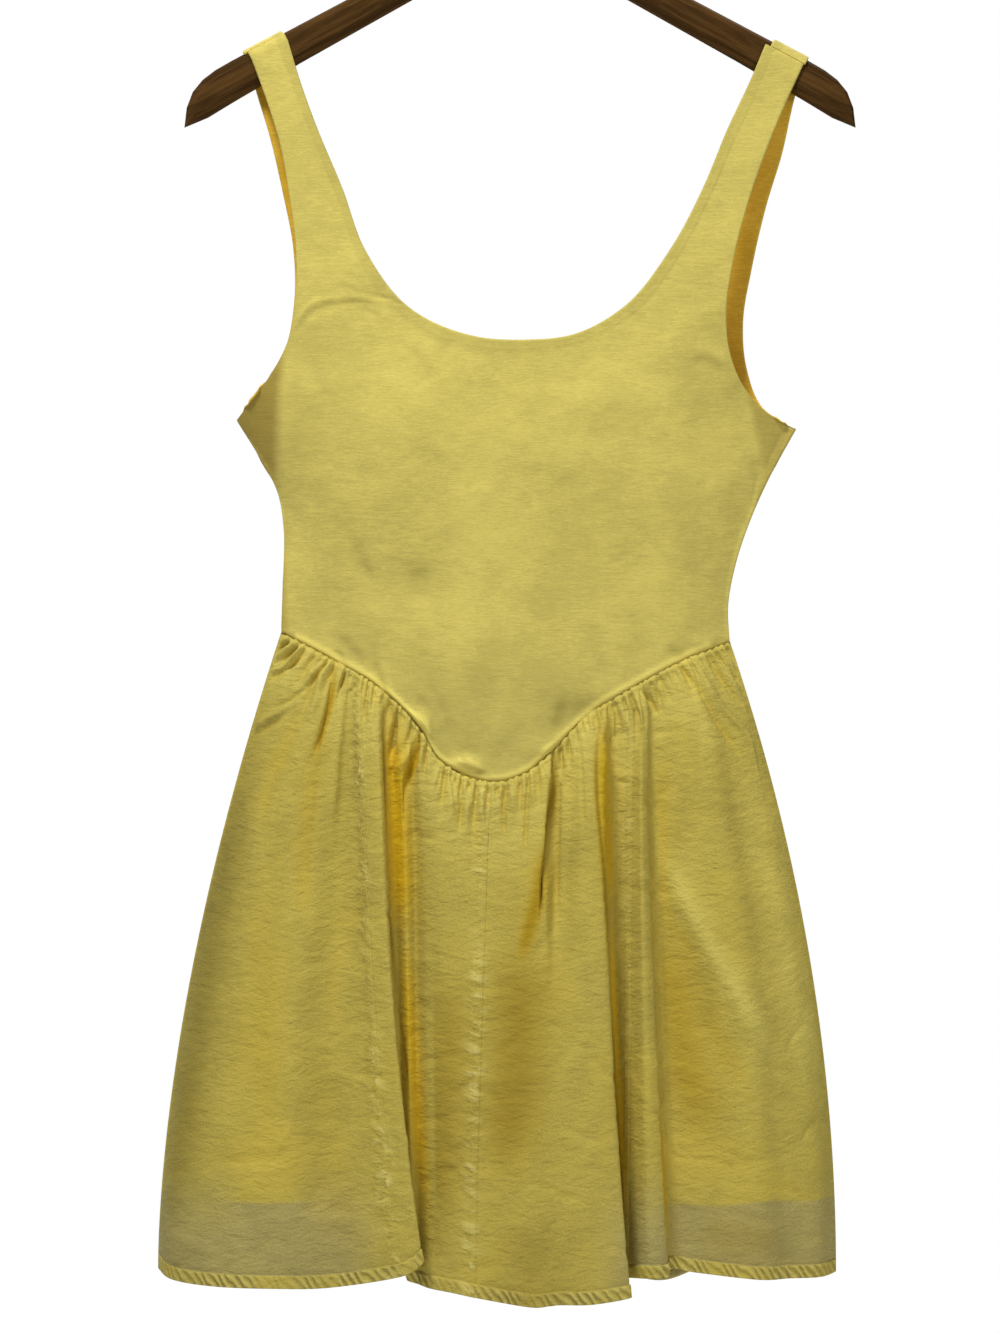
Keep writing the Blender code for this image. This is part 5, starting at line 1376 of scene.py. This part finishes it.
def skirt_side(side, folds, waist, spans, names, leans, settings, detail, finish):
    """Makes the panels of one side of the skirt. Returns them with its points, normals and seams."""
    outward = OUTWARD[side]
    coarser, hem_coarser = (1, 1) if side == "front" else BACK_COARSER
    column_widths = settings.column * coarser, settings.hem_column * hem_coarser
    grid, downs, steps, seams = skirt_base(folds, waist, spans, side, detail, *column_widths)
    line, _ = waist_line(waist, spans, detail)
    normals = normals_of(grid, outward)
    gather_seed, wrinkle_seed, pucker_seed = (settings.seed + step for step in RANDOM_STEPS[side])
    relief = gather_relief(grid, downs, line, leans, gather_seed)
    x, z = grid[:, :, 0], grid[:, :, 2]
    for pleat in SKIRT_CREASES if side == "front" else ():
        mine, inside = within(steps, pleat, 0.25)
        relief[:, mine] += inside * swell_along(x[:, mine], z[:, mine], pleat.path, pleat.width, pleat.height)
    puckers, beside = seam_puckers(grid, downs, seams, PUCKER_SHARES[side], pucker_seed)
    relief += puckers
    relief += crumple(grid, downs, wrinkle_seed)
    place, width, height = WAIST_PUFF
    relief += height * MM * hill((downs / MM - place) / width)
    from_side = np.minimum(steps, len(folds) - 1 - steps)
    relief *= ease(from_side / 0.5)
    # painted warm shade of the folds, and their painted shade or highlight
    deep, shade = skirt_shades(side, grid, relief, steps, from_side)
    relief += hem_band(downs) * ease(from_side / 0.1)
    points = grid + normals * relief[:, :, None]
    points[..., 1] = held_off(points, -SEAM_LAP, outward)
    tucked = turned_in(grid[0], normals[0], WAIST_TUCK)
    turned = turned_in(points[-1], normals[-1], HEM_TURN)
    full = np.concatenate([tucked, points, turned])
    added = len(tucked), len(turned)
    arc = arc_lengths(grid[-1])
    v = extended(downs, *added)
    uvs = np.stack([np.broadcast_to(arc, v.shape), v], axis=2)
    marks = {"hollow": deep, "shaded": shade, "beside_seam": beside}
    marks = {mark: extended(values, *added) for mark, values in marks.items()}
    marks["above_hem"] = np.concatenate([downs[-1:] - v[:-len(turned)], np.ones((len(turned), len(arc)))])
    dips = extended(normals, *added) * PANEL_SEAM_DIP * MM
    ends = [0, *seams, full.shape[1] - 1]
    made = []
    for name, first, last in zip(names, ends, ends[1:]):
        panel = full[:, first : last + 1].copy()
        if first:
            panel[:, 0] -= dips[:, first]
        if last < full.shape[1] - 1:
            panel[:, -1] -= dips[:, last]
        faces = grid_faces(*panel.shape[:2], faces_out(panel, outward))
        piece = as_mesh(
            name + "_lawn", panel.reshape(-1, 3), faces, uvs[:, first : last + 1].reshape(-1, 2), finish,
            {mark: values[:, first : last + 1] for mark, values in marks.items()},
        )
        ride(piece, "lawn", name)
        width = float(arc[last] - arc[first]) * SEAM_ROOM
        length = float(downs[-1, first : last + 1].max()) + 2 * HEM_HEIGHT
        declare_sheet(piece, panel, "gathered", [f"bodice_{side}_jersey"], width, length)
        made.append(piece)
    return made, points, normals, seams


def stitch_row(name, places, normals, thread_radius, finish):
    """Short raised stitches of thread, one between each two places."""
    points, faces = [], []
    ring = [(math.cos(a), math.sin(a)) for a in (0, math.pi / 3, 2 * math.pi / 3, math.pi)]
    for a, b, normal in zip(places[:-1:2], places[1::2], normals[:-1:2]):
        run = b - a
        size = np.linalg.norm(run)
        if size < 1e-6:
            continue
        run = run / size
        beside = np.cross(normal, run)
        base = len(points)
        for share, swell in ((0.0, 0.15), (0.25, 1.0), (0.75, 1.0), (1.0, 0.15)):
            middle = a + (b - a) * share
            for c, s in ring:
                points.append(middle + (beside * c + normal * s * 1.2) * thread_radius * swell)
        for k in range(3):
            for j in range(3):
                first = base + k * 4 + j
                faces.append((first, first + 1, first + 5, first + 4))
    mesh = bpy.data.meshes.new(name)
    mesh.from_pydata([tuple(p) for p in points], [], faces)
    mesh.materials.append(finish)
    mesh.shade_smooth()
    return linked(name, mesh)


def stitch_run(points, normals, seam):
    """Places of the stitches beside a panel seam, with the normals there."""
    back_by = np.cumsum(np.linalg.norm(np.diff(points[:, : seam + 1], axis=1), axis=2)[:, ::-1], axis=1)
    rows, columns = np.arange(len(points)), seam - 1 - np.argmax(back_by > STITCH_LINE * MM, axis=1)
    facing = normals[rows, columns]
    line = points[rows, columns] + facing * 0.05 * MM
    length = arc_lengths(line)
    at = np.arange(0.5 * STITCH_STEP * MM, length[-1], STITCH_STEP * MM)
    places, facing = (
        np.stack([np.interp(at, length, values[:, k]) for k in range(3)], axis=1) for values in (line, facing)
    )
    return places, facing / np.linalg.norm(facing, axis=1, keepdims=True)


def lining_grid(side, waist, spans):
    """Points of one side of the lining, smooth but for its turned hem."""
    outward = OUTWARD[side]
    line, _ = waist_line(waist, spans, 4)
    share = np.linspace(0, 1, 141)
    share = share - LINING_CROWD * np.sin(2 * math.pi * share)
    top_x, hem_x = (start + width * share for start, width in (LINING_TOP, LINING_HEM))
    top_z = np.interp(top_x, *line.T) - SEAM_GAP
    top_depth = body_depth(top_x, top_z, side) - LINING_BEHIND
    hem_depth = LINING_HEM_DEPTH * (1 - np.abs(2 * share - 1) ** LINING_HEM_ROUND)
    rows = []
    for down in np.linspace(0, 1, 60):
        x = top_x + (hem_x - top_x) * down
        y = outward * (top_depth + (hem_depth - top_depth) * down)
        rows.append(np.stack([x, y, top_z + (LINING_HEM_Z - top_z) * down], axis=1))
    grid = np.array(rows)
    grid = np.concatenate([grid, turned_in(grid[-1], normals_of(grid, outward)[-1], LINING_TURN)])
    grid[..., 1] = held_off(grid, SEAM_GAP / 2, outward)
    return grid


class DRESS_OT_bodice(bpy.types.Operator):
    """Makes the front and back of the bodice, each cut in one with its straps"""

    bl_idname = "dress.bodice"
    bl_label = "Bodice"

    def execute(self, context):
        settings = context.scene.dress_bodice
        finish = jersey_finish(tuple(settings.colour), tuple(settings.shadow))
        front_edges = (ARMHOLE_LEFT, SIDE_LEFT, WAIST_FRONT, SIDE_RIGHT, ARMHOLE_RIGHT)
        back_edges = (ARMHOLE_LEFT_BACK, SIDE_LEFT, WAIST_BACK, SIDE_RIGHT, ARMHOLE_RIGHT_BACK)
        front_nodes = ("bodice_front_left", "bodice_front_middle", "bodice_front_right")
        for name, nodes, side, edges, neck, spans, shift in (
            ("bodice_front_jersey", front_nodes, "front", front_edges, NECK_FRONT, RIB_SPANS, 0.5),
            ("bodice_back_jersey", ("bodice_back",), "back", back_edges, NECK_BACK, RIB_SPANS_BACK, -0.5),
        ):
            gap_angle = SEAM_GAP / (LOOP_RADIUS - JERSEY_WALL)
            seams = [angle + shift * gap_angle for angle in (SHOULDER_SEAM_LEFT, SHOULDER_SEAM_RIGHT)]
            outer, inner, dip = bodice_walls(edges, neck, spans, side, seams, settings.ribs, settings.steps)
            # painted shade where the sides of the bodice turn back
            turned = painted_side_shade(outer, side)
            piece = rounded_wall(name, outer, inner, flat_map(outer), turned, dip, finish, OUTWARD[side])
            ride(piece, "jersey", *nodes)
            declare_sheet(piece, outer, "hung", ["hanger_arms"], *BODICE_CUT)
        return {"FINISHED"}


class DRESS_OT_skirt(bpy.types.Operator):
    """Makes the gathered panels of the skirt with their hems and topstitching"""

    bl_idname = "dress.skirt"
    bl_label = "Skirt"

    def execute(self, context):
        settings = context.scene.dress_skirt
        detail = context.scene.dress_bodice.ribs
        colours = tuple(settings.colour), tuple(settings.hollow), tuple(settings.unlined_shade)
        finish = lawn_finish("lawn", *colours, panelled=True)
        thread = thread_finish(shaded(tuple(settings.colour), 1.15))
        front = ("skirt_side_left", "skirt_centre_left", "skirt_centre_right", "skirt_side_right")
        back = ("skirt_back_left", "skirt_back_right")
        for side, folds, waist, spans, names, leans in (
            ("front", FRONT_FOLDS, WAIST_FRONT, RIB_SPANS, front, FRONT_LEANS),
            ("back", BACK_FOLDS, WAIST_BACK, RIB_SPANS_BACK, back, BACK_LEANS),
        ):
            made, points, normals, seams = skirt_side(
                side, folds, waist, spans, names, leans, settings, detail, finish
            )
            for piece, seam in zip(made, seams):
                places, facing = stitch_run(points, normals, seam)
                stitches = stitch_row(piece.name + "_topstitch", places, facing, THREAD_RADIUS * MM, thread)
                ride(stitches, "lawn")
        return {"FINISHED"}


class DRESS_OT_lining(bpy.types.Operator):
    """Makes the plain lining inside the skirt"""

    bl_idname = "dress.lining"
    bl_label = "Lining"

    def execute(self, context):
        settings = context.scene.dress_skirt
        colours = tuple(settings.colour), tuple(settings.hollow), tuple(settings.unlined_shade)
        finish = lawn_finish("lining", *colours, panelled=False)
        for node, waist, spans, side in (
            ("lining_front", WAIST_FRONT, RIB_SPANS, "front"),
            ("lining_back", WAIST_BACK, RIB_SPANS_BACK, "back"),
        ):
            grid = lining_grid(side, waist, spans)
            faces = grid_faces(*grid.shape[:2], faces_out(grid, OUTWARD[side]))
            piece = as_mesh(
                node + "_cloth", grid.reshape(-1, 3), faces, flat_map(grid).reshape(-1, 2), finish,
                {"hollow": np.zeros(grid.shape[:2])},
            )
            ride(piece, "lining", node)
            declare_sheet(piece, grid, "hung", [f"bodice_{side}_jersey"], *LINING_CUT)
        return {"FINISHED"}


class DRESS_OT_hanger(bpy.types.Operator):
    """Finishes the wooden hanger and its wire hook"""

    bl_idname = "dress.hanger"
    bl_label = "Hanger"

    def execute(self, context):
        settings = context.scene.dress_hanger
        for node, finish in (
            ("hanger_arms", wood_finish(tuple(settings.wood))),
            ("hanger_hook", steel_finish(tuple(settings.steel))),
        ):
            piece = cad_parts[node]
            for slot in piece.material_slots:
                slot.material = finish
        return {"FINISHED"}


VIEW_CENTRE = (-0.0132, -0.5776)  # x and z of the middle of the camera's view
VIEW_HEIGHT = 0.8798  # of what it sees in the plane of the hanger
LIT_PLACE = (0.0, 0.0, -0.6)


def soft_light(name, place, size, power):
    """A rectangular light that faces the middle of the dress."""
    data = bpy.data.lights.new(name, "AREA")
    data.shape = "RECTANGLE"
    data.size, data.size_y = size
    data.energy = power
    light = linked(name, data)
    light.location = place
    light.rotation_euler = (Vector(LIT_PLACE) - Vector(place)).to_track_quat("-Z", "Y").to_euler()


def studio_world(strength):
    """A faint even light from all round, seen as white by the camera."""
    world = bpy.data.worlds.new("studio")
    world.use_nodes = True
    tree = world.node_tree
    room = tree.nodes["Background"]
    room.inputs["Color"].default_value = (1.0, 0.99, 0.97, 1)
    room.inputs["Strength"].default_value = strength
    seen = tree.nodes.new("ShaderNodeBackground")
    seen.inputs["Color"].default_value = (1, 1, 1, 1)
    ray = tree.nodes.new("ShaderNodeLightPath")
    pick = tree.nodes.new("ShaderNodeMixShader")
    tree.links.new(ray.outputs["Is Camera Ray"], pick.inputs[0])
    tree.links.new(room.outputs[0], pick.inputs[1])
    tree.links.new(seen.outputs[0], pick.inputs[2])
    tree.links.new(pick.outputs[0], tree.nodes["World Output"].inputs["Surface"])
    return world


class DRESS_OT_stage(bpy.types.Operator):
    """Sets the pale floor, the soft light and the camera"""

    bl_idname = "dress.stage"
    bl_label = "Stage"

    def execute(self, context):
        settings = context.scene.dress_stage
        scene = context.scene
        scene.view_settings.view_transform = "Standard"
        bpy.ops.object.select_all(action="DESELECT")
        bpy.ops.mesh.primitive_circle_add(
            vertices=96, radius=3.0, fill_type="NGON", location=(0, 0, settings.floor_z)
        )
        floor = context.object
        floor.name = "floor"
        pale = Finish("pale_floor", (0.86, 0.86, 0.85), 0.9)
        floor.data.materials.append(pale.material)
        for name, place, size, power in (
            ("key", (-0.72, -1.30, 1.80), (0.6, 0.4), settings.key),
            ("fill", (2.1, -2.2, 0.3), (1.2, 1.2), settings.fill),
            ("rear", (0.3, 1.9, 1.6), (1.5, 0.9), settings.key * 0.7),
            ("rear_fill", (-1.4, 2.6, -0.2), (1.6, 2.2), settings.fill * 0.6),
        ):
            soft_light(name, place, size, power)
        scene.world = studio_world(settings.room)
        data = bpy.data.cameras.new("camera")
        data.sensor_fit = "VERTICAL"
        data.sensor_height = 24.0
        data.lens = data.sensor_height * settings.distance / VIEW_HEIGHT
        data.clip_end = 50
        camera = linked("camera", data)
        camera.location = (VIEW_CENTRE[0], -settings.distance, VIEW_CENTRE[1])
        camera.rotation_euler = (math.pi / 2, 0, 0)
        scene.camera = camera
        return {"FINISHED"}


class DRESS_PT_panel(bpy.types.Panel):
    """The dress in the sidebar"""

    bl_label = "Babydoll Dress"
    bl_idname = "DRESS_PT_panel"
    bl_space_type = "VIEW_3D"
    bl_region_type = "UI"
    bl_category = "Dress"

    def draw(self, context):
        for group, operator in SECTIONS_OF_PANEL:
            box = self.layout.box()
            settings = getattr(context.scene, group)
            for name in settings.__annotations__:
                box.prop(settings, name)
            box.operator(operator)


SECTIONS_OF_PANEL = (
    ("dress_bodice", "dress.bodice"),
    ("dress_skirt", "dress.skirt"),
    ("dress_skirt", "dress.lining"),
    ("dress_hanger", "dress.hanger"),
    ("dress_stage", "dress.stage"),
)
GROUPS = {
    "dress_bodice": BodiceSettings,
    "dress_skirt": SkirtSettings,
    "dress_hanger": HangerSettings,
    "dress_stage": StageSettings,
}
CLASSES = (
    *GROUPS.values(), DRESS_OT_bodice, DRESS_OT_skirt, DRESS_OT_lining, DRESS_OT_hanger, DRESS_OT_stage,
    DRESS_PT_panel,
)


def register():
    for kind in CLASSES:
        bpy.utils.register_class(kind)
    for name, kind in GROUPS.items():
        setattr(bpy.types.Scene, name, bpy.props.PointerProperty(type=kind))


def unregister():
    for name in GROUPS:
        delattr(bpy.types.Scene, name)
    for kind in reversed(CLASSES):
        bpy.utils.unregister_class(kind)


def main():
    register()
    bpy.ops.dress.bodice()
    bpy.ops.dress.skirt()
    bpy.ops.dress.lining()
    bpy.ops.dress.hanger()
    bpy.ops.dress.stage()


if __name__ == "__main__":
    main()
